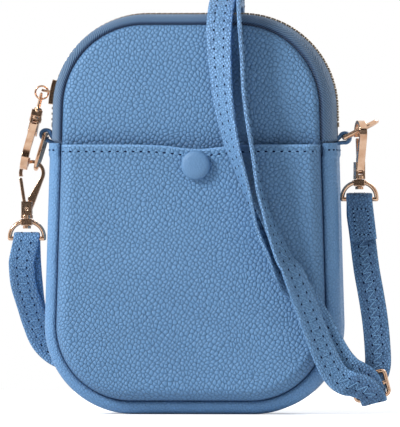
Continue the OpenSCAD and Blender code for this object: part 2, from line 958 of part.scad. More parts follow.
back_sewn_shares = [
    [-0.496, 1.134, 0.304, -0.87, 0, 0.5],
    [-0.263, 1.134, 0.499, -0.9, 0, 0.4],
    [-0.044, 1.134, 0.705, -0.93, 0, 0.37],
    [0.117, 1.157, 0.878, -0.97, 0, 0.2],
    [0.182, 1.088, 0.97, -1, 0, 0.1],
    [0.201, 0.694, 1.024, -1, 0, 0],
    [0.204, 0, 1.049, -1, 0, 0]
];
left_run_shares = [
    [-1.139, 0.222, 0.865, 1, 0, 0],
    [-1.133, 0.486, 0.741, 1, 0, 0],
    [-1.124, 0.81, 0.618, 1, 0, 0],
    [-1.104, 1.134, 0.494, 1, 0, 0],
    [-1.044, 1.333, 0.389, 0.8, 0, 0.5],
    [-0.927, 1.356, 0.321, 0.5, 0, 0.85],
    [-0.788, 1.343, 0.34, -0.3, 0, 0.95],
    [-0.666, 1.319, 0.44, -0.8, 0, 0.6]
];
back_run_shares = [
    [-0.482, 1.315, 0.304, -0.87, 0, 0.5],
    [-0.219, 1.324, 0.499, -0.9, 0, 0.4],
    [0.022, 1.343, 0.705, -0.9, 0.3, 0.37],
    [0.212, 1.398, 0.856, -0.6, 0.8, 0.2],
    [0.286, 1.333, 0.962, -0.1, 0.9, -0.4],
    [0.304, 0.787, 1.041, 0, 0.4, 0.9],
    [0.307, 0, 1.051, 0, 0, 1]
];

front_y = -pocket_y;
back_y = half_d + panel_t;
function spread(rows, deep, high) = [
    for (r = rows) concat([r[0] * body_w / 2, r[1] * deep, r[2] * high], across(r))
];

// A fold about a bar: c is the bar, rise the direction of the strap from it, a in degrees
fold_r = loop_wire / 2 + play + strap_t / 2;
fold_step = 22.5;
function fold_at(c, rise, width, a) = concat(c + fold_r * (cos(a) * [0, 1, 0] + sin(a) * rise), width);
function fold(c, rise, width, a0, a1) = [
    for (i = [0:abs(a1 - a0) / fold_step])
        fold_at(c, rise, width, a0 + fold_step * i * sign(a1 - a0))
];

// The slide: a wire frame with a bar across its middle, its bars sloping up to the right
slide_shares = [1.2153, -0.9643, 0.0439];
slide_at = [slide_shares.x * body_w / 2, slide_shares.y * front_y, slide_shares.z * body_h];
slide_slope = 14;
slide_half_w = 7.75;
slide_h = 11;
slide_corner = 1.8;
slide_flap_share = 0.4;
slide_u = [cos(slide_slope), 0, sin(slide_slope)];
slide_v = [-sin(slide_slope), 0, cos(slide_slope)];
slide_mid = slide_at + slide_v * slide_h / 2;
module strap_slide() {
    color(gold)
        translate(slide_at)
            rotate([0, -slide_slope, 0]) {
                for (z = [0, slide_h / 2, slide_h])
                    let (half = slide_half_w - (z == slide_h / 2 ? 0 : slide_corner))
                        translate([0, 0, z])
                            rotate([0, 90, 0])
                                cylinder(d = slide_wire, h = 2 * half, center = true);
                for (side = [-1, 1])
                    translate([side * slide_half_w, 0, slide_corner])
                        cylinder(d = slide_wire, h = slide_h - 2 * slide_corner);
                for (side = [0, 1], end = [0, 1])
                    mirror([side, 0, 0])
                        translate([slide_half_w - slide_corner, 0, slide_h / 2])
                            mirror([0, 0, end])
                                translate([0, 0, slide_h / 2 - slide_corner])
                                    rotate([90, 0, 0])
                                        rotate_extrude(angle = 90, $fn = 48)
                                            translate([slide_corner, 0])
                                                circle(d = slide_wire, $fn = 24);
            }
}

// A turn in the strap's own plane beside a bar of the slide, from the bar's line upwards
turn_r = 6.8;
turn_angles = [66, 48, 31];
turn_depths = [3.1, 2.6, 1.7];
function beside(bar, deep) = [
    for (i = [0:len(turn_angles) - 1])
        let (a = turn_angles[i], back = fold_r + deep * turn_depths[i])
            concat(bar - turn_r * slide_u + [turn_r * cos(a), -back, turn_r * sin(a)], [1, 0, 0])
];

flap_lean = 0.8;
flap_slope = 0.12;
flap_step = 0.25;
right_bar = right_hook_at - [0, 0, loop_reach];
left_bar = left_hook_at - [0, 0, loop_reach];
module strap_right() {
    color(leather)
        ribbon(concat(
            [for (f = [1:-flap_step:flap_step])
                let (down = flap_l * f)
                    concat(right_bar + [down * flap_slope, -fold_r - flap_lean * f, -down], [1, 0, 0])],
            fold(right_bar, [0, 0, 1], [1, 0, 0], 180, 0),
            smooth(spread(right_shares, front_y, right_bar.z)),
            fold(slide_at, slide_v, slide_u, 0, -180)
        ), final = slide_v);
}

module strap_front_running() {
    color(leather)
        ribbon(concat(
            smooth(spread(front_run_shares, front_y, body_h)),
            beside(slide_at, 1),
            [fold_at(slide_at, slide_v, slide_u, -180)]
        ), first = [0, -1, 0], final = -slide_v);
}

module strap_front_sewn() {
    color(leather)
        ribbon(concat(
            smooth(spread(front_sewn_shares, front_y, body_h)),
            half_twisted(concat(
                beside(slide_mid, 0),
                fold(slide_mid, slide_v, slide_u, -180, 0),
                [concat(slide_mid + [0, fold_r, 0] + slide_v * slide_h * slide_flap_share, slide_u)]
            ))
        ), first = [0, -1, 0]);
}

module strap_left_fold() {
    color(leather)
        ribbon(fold(left_bar, [0, 0, 1], [1, 0, 0], 180, 0), first = [0, 0, 1], final = [0, 0, -1]);
}

module strap_back_sewn() {
    color(leather)
        ribbon(
            concat([fold_at(left_bar, [0, 0, 1], [1, 0, 0], 180)], smooth(concat(
                spread(left_sewn_shares, back_y, left_bar.z), spread(back_sewn_shares, back_y, body_h)
            ))),
            first = [0, 0, -1], final = [0, -1, 0]
        );
}

module strap_back_running() {
    color(leather)
        ribbon(
            concat([fold_at(left_bar, [0, 0, 1], [1, 0, 0], 0)], smooth(concat(
                spread(left_run_shares, back_y, left_bar.z), spread(back_run_shares, back_y, body_h)
            ))),
            first = [0, 0, -1], final = [0, -1, 0]
        );
}

front_panel();
back_panel();
side_strip();
front_foam();
back_foam();
front_lining();
back_lining();
side_lining();
front_pocket();
pocket_lining();
zip_tape_front();
zip_tape_back();
zip_teeth_front();
zip_teeth_back();
zip_stops();
zip_slider();
zip_ring();
pull_loop();
pull_frame();
pull_gate();
pull_pin();
snap_cap();
snap_socket();
snap_stud();
snap_washer();
left_tab();
right_tab();
left_d_ring();
right_d_ring();
left_hook_loop();
left_hook_frame();
left_hook_gate();
left_hook_pin();
right_hook_loop();
right_hook_frame();
right_hook_gate();
right_hook_pin();
strap_right();
strap_front_running();
strap_front_sewn();
strap_back_running();
strap_back_sewn();
strap_left_fold();
strap_slide();
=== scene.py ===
# %% [markdown]
# # A small phone pouch, dressed round its CAD frame
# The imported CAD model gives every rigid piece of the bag: rings, hooks, zip and slide. The
# leather, the tapes, the linings and the strap are soft, so each of them is worked out here as
# a surface and takes the place of its plain CAD solid. The frame is loaded first, because each
# soft piece is set against it.

import math

import bpy
import numpy as np
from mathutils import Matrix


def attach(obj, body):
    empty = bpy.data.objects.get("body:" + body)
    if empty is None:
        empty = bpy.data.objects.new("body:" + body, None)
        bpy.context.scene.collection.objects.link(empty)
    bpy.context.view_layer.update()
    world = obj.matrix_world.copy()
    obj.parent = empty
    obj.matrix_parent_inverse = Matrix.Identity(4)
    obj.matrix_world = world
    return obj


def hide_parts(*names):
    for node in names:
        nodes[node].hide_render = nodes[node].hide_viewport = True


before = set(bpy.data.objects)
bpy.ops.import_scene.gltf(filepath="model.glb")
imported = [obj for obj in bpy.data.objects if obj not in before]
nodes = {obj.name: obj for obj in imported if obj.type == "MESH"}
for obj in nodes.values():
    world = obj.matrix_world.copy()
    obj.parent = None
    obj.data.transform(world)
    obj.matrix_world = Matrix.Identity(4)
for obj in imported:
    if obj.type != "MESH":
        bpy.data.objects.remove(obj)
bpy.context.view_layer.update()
MM = 0.001

# %% [markdown]
# ## The camera
# The bag was photographed from straight ahead with a long lens, a few degrees from the right.
# A camera four metres away sees the same thing. Its lens is chosen so that the picture's height
# of 427 pixels spans 197.5 mm of the bag.

# %% Set the camera
camera_turn = math.radians(3.3)
camera_far = 4.0
picture_high = 0.1975
look_at = np.array([0.0021, 0.0, 0.0925])
camera = bpy.data.objects.new("camera", bpy.data.cameras.new("camera"))
camera.data.sensor_width = 36
camera.data.lens = 36 * camera_far / picture_high
camera.data.clip_end = 50
camera.location = look_at + camera_far * np.array([math.sin(camera_turn), -math.cos(camera_turn), 0])
camera.rotation_euler = (math.pi / 2, 0, camera_turn)
bpy.context.collection.objects.link(camera)
bpy.context.scene.camera = camera
bpy.context.scene.view_settings.view_transform = "Standard"
print("lens", round(camera.data.lens), "mm")

# %% [markdown]
# ## Light and floor
# A studio's soft box stands to the left and above, a weak one to the right, and one behind that
# lights the zip's upper edge. The world gives even light from all round. Dark boards, which the
# camera doesn't see, give the polished metal something to reflect: one across the camera's line
# and one on each side, with white between.

# %% Build the studio
def soft_box(name, place, size, watts):
    """A square area light at place that faces the middle of the bag."""
    lamp = bpy.data.lights.new(name, "AREA")
    lamp.size, lamp.energy = size, watts
    box = bpy.data.objects.new(name, lamp)
    box.location = place
    way = np.array(place) - look_at
    box.rotation_euler = (math.acos(way[2] / np.linalg.norm(way)), 0, math.atan2(way[0], -way[1]))
    bpy.context.collection.objects.link(box)


soft_box("key_light", (-1.9, -1.25, 1.5), 0.7, 70)
soft_box("fill_light", (1.6, -1.6, 0.7), 1.2, 1)
soft_box("back_light", (0.9, 1.9, 1.5), 1.0, 26)


def board(name, low, high, faces_camera):
    """A flat stage piece between two opposite corners, with two sides along X."""
    mesh = bpy.data.meshes.new(name)
    mesh.from_pydata([low, (high[0], *low[1:]), high, (low[0], *high[1:])], [], [(0, 1, 2, 3)])
    plate = bpy.data.objects.new(name, mesh)
    bpy.context.collection.objects.link(plate)
    if not faces_camera:
        plate.visible_camera = plate.visible_shadow = plate.visible_diffuse = False
    return plate


floor = board("floor", (-2, -1.6, 0), (2, 0.5, 0), True)
dark_boards = [board("dark_board_" + name, (left, -2.4, -0.6), (right, -2.4, top), False)
               for name, left, right, top in (("left", -3.4, -0.95, 3.0), ("middle", -0.7, 0.4, 5.5),
                                              ("right", 0.9, 3.0, 3.0))]
print("floor and", len(dark_boards), "boards")

# %% [markdown]
# ## Shader maths as Python
# A shader is a sum of small nodes. The Wire class wraps one output of a node, so that `1 - wire`
# or `wire * 3` adds a Math node by itself. A Finish holds one material. Its add method makes any
# other node: the settings go in first, then the values or wires of its sockets.

# %% Wires and finishes
class Wire:
    """One output of a node. Arithmetic on wires adds Math nodes."""

    def __init__(self, finish, socket):
        self.finish, self.socket = finish, socket

    def maths(self, operation, *values):
        return self.finish.add("ShaderNodeMath", {"operation": operation}, dict(enumerate(values)))

    def __add__(self, other):
        return self.maths("ADD", self, other)

    def __sub__(self, other):
        return self.maths("SUBTRACT", self, other)

    def __mul__(self, other):
        return self.maths("MULTIPLY", self, other)

    def __truediv__(self, other):
        return self.maths("DIVIDE", self, other)

    def __rsub__(self, other):
        return self.maths("SUBTRACT", other, self)

    __radd__, __rmul__ = __add__, __mul__

    def clipped(self):
        return self.maths("MINIMUM", self.maths("MAXIMUM", self, 0), 1)

    def rise(self, low, high):
        """0 below low, 1 above high and an even slope between them."""
        return ((self - low) / (high - low)).clipped()

    def wave(self):
        return self.maths("SINE", self)


class Finish:
    """A material with one Principled shader."""

    def __init__(self, name, **constants):
        self.material = bpy.data.materials.new(name)
        self.material.use_nodes = True
        self.tree = self.material.node_tree
        self.shader = self.tree.nodes["Principled BSDF"]
        for socket, value in constants.items():
            self.shader.inputs[socket.replace("_", " ")].default_value = value

    def add(self, kind, settings=None, sockets=None, output=0):
        node = self.tree.nodes.new(kind)
        for key, value in (settings or {}).items():
            setattr(node, key, value)
        for key, value in (sockets or {}).items():
            if isinstance(value, Wire):
                self.tree.links.new(value.socket, node.inputs[key])
            else:
                node.inputs[key].default_value = value
        return Wire(self, node.outputs[output])

    def blend(self, first, second, share):
        """A colour between two: share 0 gives the first, 1 the second."""
        return self.add("ShaderNodeMix", {"data_type": "RGBA"}, {0: share, 6: first, 7: second}, 2)

    def feed(self, **wires):
        for socket, wire in wires.items():
            self.tree.links.new(wire.socket, self.shader.inputs[socket.replace("_", " ")])

    def bumped(self, height, deep, **more):
        """Feeds the Normal with a bump: deep is what a height of 1 stands for, in metres."""
        sockets = {"Strength": 1.0, "Distance": deep, "Height": height, **more}
        self.feed(Normal=self.add("ShaderNodeBump", None, sockets))

    def place(self):
        return self.add("ShaderNodeTexCoord", output=3)

    def noise(self, scale, detail, output=0):
        return self.add("ShaderNodeTexNoise", None,
                        {"Vector": self.place(), "Scale": scale, "Detail": detail}, output)


def paint(red, green, blue):
    """A colour as a screen shows it, 0 to 255, as the linear light a shader wants:
    each part is divided by 255 and raised to the power 2.2."""
    return (*(np.array([red, green, blue]) / 255) ** 2.2, 1)


print("blue as light:", [round(float(v), 3) for v in paint(100, 146, 196)])

# %% [markdown]
# ## The backdrop
# The world is soft grey light for the bag and plain white for the camera and for mirrors. The
# floor is a matt, nearly white board that keeps the bag's shadow. Seen straight from the camera
# it glows a little, so that it runs into the white backdrop without throwing light on the bag.

# %% Light the world and paint the stage
even_light, white = 0.37, 1.0
world = bpy.data.worlds.new("studio")
bpy.context.scene.world = world
world.use_nodes = True
sky = world.node_tree
path = sky.nodes.new("ShaderNodeLightPath")
seen, mirrored = sky.nodes.new("ShaderNodeMath"), sky.nodes.new("ShaderNodeMath")
seen.operation = mirrored.operation = "MAXIMUM"
sky.links.new(path.outputs["Is Glossy Ray"], mirrored.inputs[0])
sky.links.new(path.outputs["Is Transmission Ray"], mirrored.inputs[1])
sky.links.new(path.outputs["Is Camera Ray"], seen.inputs[0])
sky.links.new(mirrored.outputs[0], seen.inputs[1])
strength = sky.nodes.new("ShaderNodeMapRange")
strength.inputs["To Min"].default_value = even_light
strength.inputs["To Max"].default_value = white
sky.links.new(seen.outputs[0], strength.inputs["Value"])
sky.nodes["Background"].inputs["Color"].default_value = (1, 1, 1, 1)
sky.links.new(strength.outputs[0], sky.nodes["Background"].inputs["Strength"])
board_white = Finish("floor_board", Base_Color=(0.93, 0.93, 0.93, 1), Roughness=1.0, Emission_Strength=1.0)
straight = board_white.add("ShaderNodeLightPath")
board_white.feed(Emission_Color=board_white.blend((0, 0, 0, 1), (0.42, 0.42, 0.42, 1), straight))
floor.data.materials.append(board_white.material)
dark_card = Finish("dark_card", Base_Color=(0.02, 0.018, 0.016, 1), Roughness=1.0).material
for card in dark_boards:
    card.data.materials.append(dark_card)
print("world strength", even_light, "seen as", white)

# %% [markdown]
# ## Pebbled leather
# Faux leather is pressed with a grain of small round pebbles. A cell pattern gives the
# distance to the middle of the nearest cell, so its square makes a dome. The second nearest
# middle is as far away on the line between two cells, so the difference of the two distances
# makes an even valley there. Noise bends the cells, because a net would look like scales. Nearly
# all that one sees is light on the domes: the colour in the valleys is only a little deeper. A
# slow noise shifts the tone. Each piece also carries a mark of painted light: below 0 it is
# painted shade, dark in and near a seam, and above 0 it is a painted highlight, pale on rims,
# edges and faces where light is to fall. Under a painted highlight a strap gets painted shade in
# its valleys, so it looks speckled.

# %% Leather finishes
def leather(name, tone, grain, deep, crease, flat=False):
    """Leather of one tone. grain is the size of a pebble and deep its height, in metres, and
    crease how much darker its valleys are. A flat piece has its cells in the plane of the hide
    before it was sewn, stored as "lay", which keeps them even, and where the mark is above 0, a
    painted highlight, it is smoother instead of speckled. Below 0 the mark is painted shade."""
    skin = Finish(name, Specular_IOR_Level=0.55)
    laid = skin.add("ShaderNodeAttribute", {"attribute_name": "lay"}, output=1) if flat else skin.place()
    sway = skin.noise(0.11 / grain, 1.0, 1)
    bent = skin.add("ShaderNodeVectorMath", {"operation": "MULTIPLY_ADD"},
                    {0: sway, 1: (grain * 1.6,) * 3, 2: laid})
    turned = skin.add("ShaderNodeMapping", None, {
        "Vector": bent, "Rotation": (0, 0, 0.6) if flat else (0, 0.6, 0),
        "Scale": (1.08 / grain, 1 / grain, 0.92 / grain)})
    net = {"Vector": turned, "Scale": 1.0, "Randomness": 0.64}
    space = "2D" if flat else "3D"
    cell, further = (skin.add("ShaderNodeTexVoronoi", {"feature": which, "voronoi_dimensions": space}, net)
                     for which in ("F1", "F2"))
    valley = 1 - (further - cell).rise(0, 0.45)
    dome = 1 - cell * cell * 0.9 - valley * valley * 0.5
    pores, tide = skin.noise(3.0 / grain, 3.0), skin.noise(26.0, 2.0)
    painted_light_and_wear = skin.add("ShaderNodeAttribute", {"attribute_name": "painted_light_and_wear"}, output=2)
    dark = tuple(v * part for v, part in zip(tone, (0.16, 0.24, 0.34))) + (1,)
    pale = tuple(min(1, v * 1.35 + 0.06) for v in tone[:3]) + (1,)
    top = dome.rise(0.3, 0.85)
    # The mark adds painted shade below 0 and a painted highlight above 0.
    shade = top * crease + tide.rise(0.3, 0.7) * 0.12 - (crease * 0.7 + 0.06) + painted_light_and_wear
    body = skin.blend(tone, pale, shade.clipped())
    # Under a painted highlight the strap's valleys get painted shade.
    painted_valley_shade = (1 - top) * painted_light_and_wear.clipped() * (0.0 if flat else crease * 1.5)
    skin.feed(Base_Color=skin.blend(body, dark, ((shade * -1).clipped() + painted_valley_shade).clipped()),
              Roughness=0.46 + 0.1 * (1 - dome) + 0.1 * pores)
    skin.bumped((dome + pores * 0.16) * (1 - painted_light_and_wear.clipped() * (0.75 if flat else 0)), deep)
    return skin.material


body_leather = leather("pebbled_leather", paint(95, 139, 184), 0.0019, 0.0006, crease=0.17, flat=True)
cap_leather = leather("cap_leather", paint(94, 134, 176), 0.0012, 0.00008, crease=0.06)
side_leather = leather("side_leather", paint(98, 143, 190), 0.0013, 0.0003, crease=0.16)
strap_leather = leather("strap_leather", paint(97, 142, 188), 0.0013, 0.0006, crease=0.34)
tab_leather = leather("tab_leather", paint(84, 126, 172), 0.001, 0.0002, crease=0.2)
print("five leathers: body, cap, side, strap and tab")

# %% [markdown]
# ## Cloth, foam and thread
# The zip tape is a herringbone: the slope of its ribs changes side every few threads. The
# pattern follows the tape, so it reads an attribute that each strip carries: how far along it a
# point is and how far across. Lining is a plain weave, and foam a fine random sponge.

# %% Cloth finishes
def woven(name, tone, rib, deep, herringbone):
    """Cloth whose ribs run along the piece's own two lengths, stored as "lay" in metres."""
    cloth = Finish(name, Roughness=0.85, Specular_IOR_Level=0.25, Sheen_Weight=0.3)
    lay = cloth.add("ShaderNodeAttribute", {"attribute_name": "lay"}, output=1)
    split = cloth.tree.nodes.new("ShaderNodeSeparateXYZ")
    cloth.tree.links.new(lay.socket, split.inputs[0])
    along, across = Wire(cloth, split.outputs[0]), Wire(cloth, split.outputs[1])
    turn = 2 * math.pi / rib
    if herringbone:
        zigzag = (across / (rib * 4)).maths("PINGPONG", across / (rib * 4), 1.0) * rib * 4
        ribs = ((along + zigzag) * turn).wave() * 0.5 + 0.5
    else:
        ribs = (along * turn).wave() * (across * turn).wave() * 0.5 + 0.5
    fuzz = cloth.noise(2200.0, 2.0)
    # The mark darkens the cloth by painted shade, as on the zip tapes towards their groove.
    painted_light_and_wear = cloth.add("ShaderNodeAttribute", {"attribute_name": "painted_light_and_wear"}, output=2)
    dark = tuple(v * part for v, part in zip(tone, (0.1, 0.16, 0.26))) + (1,)
    cloth.feed(Base_Color=cloth.blend(dark, tone, (ribs * 0.46 + fuzz * 0.24 + 0.46 + painted_light_and_wear).clipped()))
    cloth.bumped(ribs + fuzz * 0.4, deep)
    return cloth.material


tape_cloth = woven("zip_tape_weave", paint(104, 138, 174), 0.0014, 0.0004, True)
lining_cloth = woven("lining_weave", paint(112, 134, 166), 0.0007, 0.00006, False)


def speckled(name, tone, size, deep, rough):
    """A matt finish with fine random grain."""
    stuff = Finish(name, Roughness=rough, Specular_IOR_Level=0.2)
    grain = stuff.noise(1 / size, 3.0)
    dark = tuple(v * 0.7 for v in tone[:3]) + (1,)
    stuff.feed(Base_Color=stuff.blend(dark, tone, grain.rise(0.3, 0.6)))
    stuff.bumped(grain, deep)
    return stuff.material


foam_sponge = speckled("foam_sponge", paint(222, 224, 226), 0.0006, 0.0002, 0.95)
blue_thread = speckled("blue_thread", paint(122, 166, 208), 0.0004, 0.00008, 0.6)
# The needle holes are dark tubes: painted shade where the thread goes into the leather.
needle_hole_shade = speckled("needle_hole_shade", paint(14, 30, 62), 0.0004, 0.00002, 0.95)
print("cloth, foam and thread")

# %% [markdown]
# ## Plated metal
# The fittings are zinc plated in a pale rose gold. Plating is smooth, but handling leaves faint
# cloudy marks, so the roughness wanders a little and the tone warms in the worn parts. Cast and
# bent wire has no knife edge, so a bevel in the shader rounds the light on every edge.

# %% Metal finishes
def plated(name, tone, painted_light_and_wear, rough):
    """Polished metal between two tones. rough is the roughness where it is clean."""
    metal = Finish(name, Metallic=1.0)
    cloud, streak = metal.noise(260.0, 4.0), metal.noise(1800.0, 2.0)
    metal.feed(Base_Color=metal.blend(tone, painted_light_and_wear, cloud.rise(0.35, 0.75)),
               Roughness=rough + 0.1 * cloud * cloud + 0.05 * streak)
    rounded = metal.add("ShaderNodeBevel", {"samples": 8}, {"Radius": 0.0004})
    metal.bumped(streak, 0.000006, Normal=rounded)
    return metal.material


rose_gold = plated("rose_gold", paint(226, 190, 162), paint(196, 152, 122), 0.1)
zip_gold = plated("zip_gold", paint(198, 180, 156), paint(150, 128, 104), 0.22)
nickel = plated("nickel", paint(196, 194, 190), paint(160, 156, 150), 0.2)
METAL = {
    zip_gold: ["zip_teeth_front", "zip_teeth_back", "zip_stops"],
    nickel: ["snap_socket", "snap_stud", "snap_washer"],
}
dressed = {name: metal for metal, names in METAL.items() for name in names}
for name in nodes:
    nodes[name].data.materials.clear()
    nodes[name].data.materials.append(dressed.get(name, rose_gold))
print(len(nodes), "nodes dressed in metal until a soft piece replaces them")

# %% [markdown]
# ## Rings of points
# Nearly every soft piece here is a section carried along a path: a strip round the bag, a
# ribbon, a stitch. So one helper joins rings of points into a closed skin. The two ends are
# closed by rungs, like a ladder laid across the ring.

# %% Mesh from rings
sharp_from = math.radians(60)


def skin_of(rings):
    """Faces of tubes. rings is an array (tube, ring, point, xyz) with an even number of points.
    A wall joins point j of ring i with point j + 1 and with ring i + 1. An end is closed by
    rungs from point j to point n - 1 - j."""
    tubes, count, n = rings.shape[:3]
    i, j = np.meshgrid(np.arange(count - 1), np.arange(n), indexing="ij")
    beyond = (j + 1) % n
    wall = np.stack([i * n + j, i * n + beyond, (i + 1) * n + beyond, (i + 1) * n + j], -1).reshape(-1, 4)
    k = np.arange(n // 2 - 1)
    rung = np.stack([k, n - 1 - k, n - 2 - k, k + 1], -1)
    one = np.concatenate([wall, rung, (rung + (count - 1) * n)[:, ::-1]])
    return (one[None] + (np.arange(tubes) * count * n)[:, None, None]).reshape(-1, 4)


def unit(v):
    """Each vector divided by its length."""
    return v / np.linalg.norm(v, axis=-1, keepdims=True)


def step(value, low, high):
    """0 below low, 1 above high, and 3t^2 - 2t^3 between them."""
    t = np.clip((value - low) / (high - low), 0, 1)
    return t * t * (3 - 2 * t)


def gone_along(points):
    """How far along a line of points each of them lies."""
    return np.concatenate([[0], np.cumsum(np.linalg.norm(np.diff(points, axis=0), axis=1))])


def outward(points, faces):
    """Turns all faces round if the volume they enclose, the sum of a . (b x c) / 6 over their
    triangles, is negative."""
    tri = np.concatenate([faces[:, [0, 1, 2]], faces[:, [0, 2, 3]]])
    a, b, c = (points[tri[:, i]] for i in range(3))
    return faces if np.einsum("ij,ij->", a, np.cross(b, c)) > 0 else faces[:, ::-1]


def eased(points):
    """Soft leather never stands quite square: the front face, from y = -10 to -19 and on, is
    pushed 0.9 to the left, and its top 1.3 up from z = 120 to 176. All by smooth steps."""
    f = step(-points[..., 1], 10, 19)
    return points + np.stack([-0.9 * f, 0 * f, 1.3 * f * step(points[..., 2], 120, 176)], -1)


def make(name, rings, material, stands_for=(), lay=None, painted_light_and_wear=None, on_body=True):
    """A piece from rings in millimetres, on the bag, with its finish and what it replaces."""
    rings = np.asarray(rings, float)
    if rings.ndim == 3:
        rings = rings[None]
    if on_body:
        rings = eased(rings)
    points = rings.reshape(-1, 3)
    faces = outward(points, skin_of(rings))
    mesh = bpy.data.meshes.new(name)
    mesh.from_pydata((points * MM).tolist(), [], faces.tolist())
    if lay is not None:
        marks = mesh.attributes.new("lay", "FLOAT_VECTOR", "POINT")
        marks.data.foreach_set("vector", (np.asarray(lay, float) * MM).reshape(-1).astype(np.float32))
    if painted_light_and_wear is not None:
        painted_shading = mesh.attributes.new("painted_light_and_wear", "FLOAT", "POINT")
        painted_shading.data.foreach_set("value", np.broadcast_to(painted_light_and_wear, rings.shape[:-1]).reshape(-1).astype(np.float32))
    mesh.shade_smooth()
    mesh.set_sharp_from_angle(angle=sharp_from)
    mesh.materials.append(material)
    thing = bpy.data.objects.new(name, mesh)
    bpy.context.collection.objects.link(thing)
    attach(thing, "bag")
    if stands_for:
        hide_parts(*stands_for)
    print(name, len(faces), "faces")
    return thing


# %% [markdown]
# ## The outline
# The bag's front is four corner circles and the lines that touch them. Walking from the middle
# of the base up the right side to the middle of the top gives one half, and the other is its
# mirror image. Every strip, seam and panel asks this walk for a place.

# %% Walk the outline
body_high = 184.5
base_circle, top_circle = (27.5, 41.0, 41.0), (21.5, 140.5, 44.0)
side_angle = math.radians(1.7262)
base_turn = np.linspace(-math.pi / 2, side_angle, 60)
top_turn = np.linspace(side_angle, math.pi / 2, 60)
walk_angle = np.concatenate([[-math.pi / 2], base_turn, top_turn, [math.pi / 2]])
walk_x = np.concatenate([[0], base_circle[0] + base_circle[2] * np.cos(base_turn),
                         top_circle[0] + top_circle[2] * np.cos(top_turn), [0]])
walk_z = np.concatenate([[0], base_circle[1] + base_circle[2] * np.sin(base_turn),
                         top_circle[1] + top_circle[2] * np.sin(top_turn), [body_high]])
walk_s = gone_along(np.stack([walk_x, walk_z], -1))


def rim(s, inset):
    """x and z at s mm along the outline from the middle of the base, positive to the right,
    moved in by inset: centre of the corner circle plus (radius - inset) times its direction."""
    s, side = np.abs(s), np.where(np.asarray(s) < 0, -1, 1)
    a = np.interp(s, walk_s, walk_angle)
    x = np.interp(s, walk_s, walk_x) - inset * np.cos(a)
    return side * x, np.interp(s, walk_s, walk_z) - inset * np.sin(a)


def walk_to(z):
    """How far up the right side the outline reaches the height z."""
    return float(np.interp(z, walk_z, walk_s))


def half_width(z, inset):
    """Half the width at height z of the outline moved in by inset."""
    corners = slice(1, -1)
    return np.interp(z, walk_z[corners] - inset * np.sin(walk_angle[corners]),
                     walk_x[corners] - inset * np.cos(walk_angle[corners]))


fine_s = np.linspace(0, walk_s[-1], 360)
fine_x, fine_z = rim(fine_s, 0)


def from_edge(x, z):
    """Distance from a point inside to the outline: the least over the points of the walk."""
    flat = np.stack([np.abs(x).ravel(), z.ravel()], -1)
    gap = np.hypot(flat[:, :1] - fine_x, flat[:, 1:] - fine_z).min(1)
    return gap.reshape(x.shape)


def shoulder(d, wide):
    """A quarter of an ellipse: 0 at the edge, 1 from wide inwards."""
    return np.sqrt(1 - (1 - np.clip(d / wide, 0, 1)) ** 2)


print("half the outline is", round(walk_s[-1], 1), "mm long")

# %% [markdown]
# ## Panels
# A leather panel is sewn in at its edge, dips into the seam there and swells over the foam
# behind it. It is a grid: rows go up the bag, closer together at both ends, and columns spread
# to the outline on each row. The depth depends only on the distance from the seam.

# %% Grids and panels
seam_in, half_deep, edge_gap, no_hem = 6.1, 20.0, 0.25, -90
panel_rise, panel_round, panel_thick, foam_face = 3.6, 3.4, 1.6, 18.0


def face_grid(inset, top, columns, rows, dip=None):
    """x and z over the outline moved in by inset, up to the height top. Heights follow
    (1 - cos(pi v)) / 2 and widths sin(pi u / 2). dip lowers the top edge: it is taken off in
    full at the top and hardly at all lower down."""
    v = (1 - np.cos(np.linspace(0, np.pi, rows))) / 2
    u = np.sin(np.linspace(-np.pi / 2, np.pi / 2, columns))
    z = inset + (top - inset) * v[None, :]
    x = u[:, None] * half_width(z, inset)
    z = np.broadcast_to(z, x.shape)
    return x, z if dip is None else z - dip(x) * v[None, :] ** 8


def slab(x, z, outer, inner):
    """Rings of a sheet: each column goes up its outer face and down its inner one."""
    front = np.stack([x, outer, z], -1)
    back = np.stack([x, inner, z], -1)
    return np.concatenate([front, back[:, ::-1]], 1)


def laid_out(x, z, wide, deep):
    """Where points of a face lie on the flat hide: a shoulder of that width and depth takes more
    leather than its width, and its arc length less its width is added on the way out from the
    nearest corner circle's middle."""
    d = np.linspace(0, wide, 80)
    arc = gone_along(np.stack([d, deep * shoulder(d, wide)], -1))
    spare = np.interp(from_edge(x, z) - seam_in, d, arc[-1] - arc - wide + d)
    middle = np.where(z < 90, base_circle[0], top_circle[0])
    across = np.where(x < 0, -1, 1) * np.maximum(np.abs(x) - middle, 1e-6)
    way = unit(np.stack([across, z - np.clip(z, base_circle[1], top_circle[1])], -1))
    place = np.stack([x, z], -1) + spare[..., None] * way
    return np.concatenate([place, 0 * place[..., :1]], -1)


def panel_depth(x, z, crown_from, swell):
    """How far a panel stands out of its seam: a shoulder, a crown that swells over the foam as
    1 - exp(-d / 14) and runs flat below crown_from, a slow ripple of 0.2 and fine gathers of
    0.16 near (32, 171)."""
    d = from_edge(x, z) - seam_in
    high = step(z, crown_from, crown_from + 34)
    crown = swell * (1 - np.exp(-d / 14)) * high
    ripple = 0.2 * np.sin(x / 13 + z / 29) * np.sin(z / 17 - x / 41) * high
    pinch = 0.16 * np.sin(2.1 * z + 1.2 * np.sin(x / 6)) * np.exp(-((x - 32) / 9) ** 2 - ((z - 171) / 7) ** 2)
    return panel_rise * shoulder(d, panel_round) + crown + ripple * step(d, 4, 14) + pinch


def painted_seam_shade(x, z, hem):
    """Painted shade on a face at the distance d from the seam: -0.9 exp(-(d / 0.55)^2), less
    0.2 exp(-d / 1.8), less a painted shadow of the hem in the pocket's mouth, which grows to 0.34
    from hem + 11 down to hem - 1 and ends at hem - 12."""
    d = from_edge(x, z) - seam_in
    mouth = 0.34 * (1 - step(z, hem - 1, hem + 11)) * (z > hem - 12)
    return -0.9 * np.exp(-(d / 0.55) ** 2) - 0.2 * np.exp(-d / 1.8) - mouth


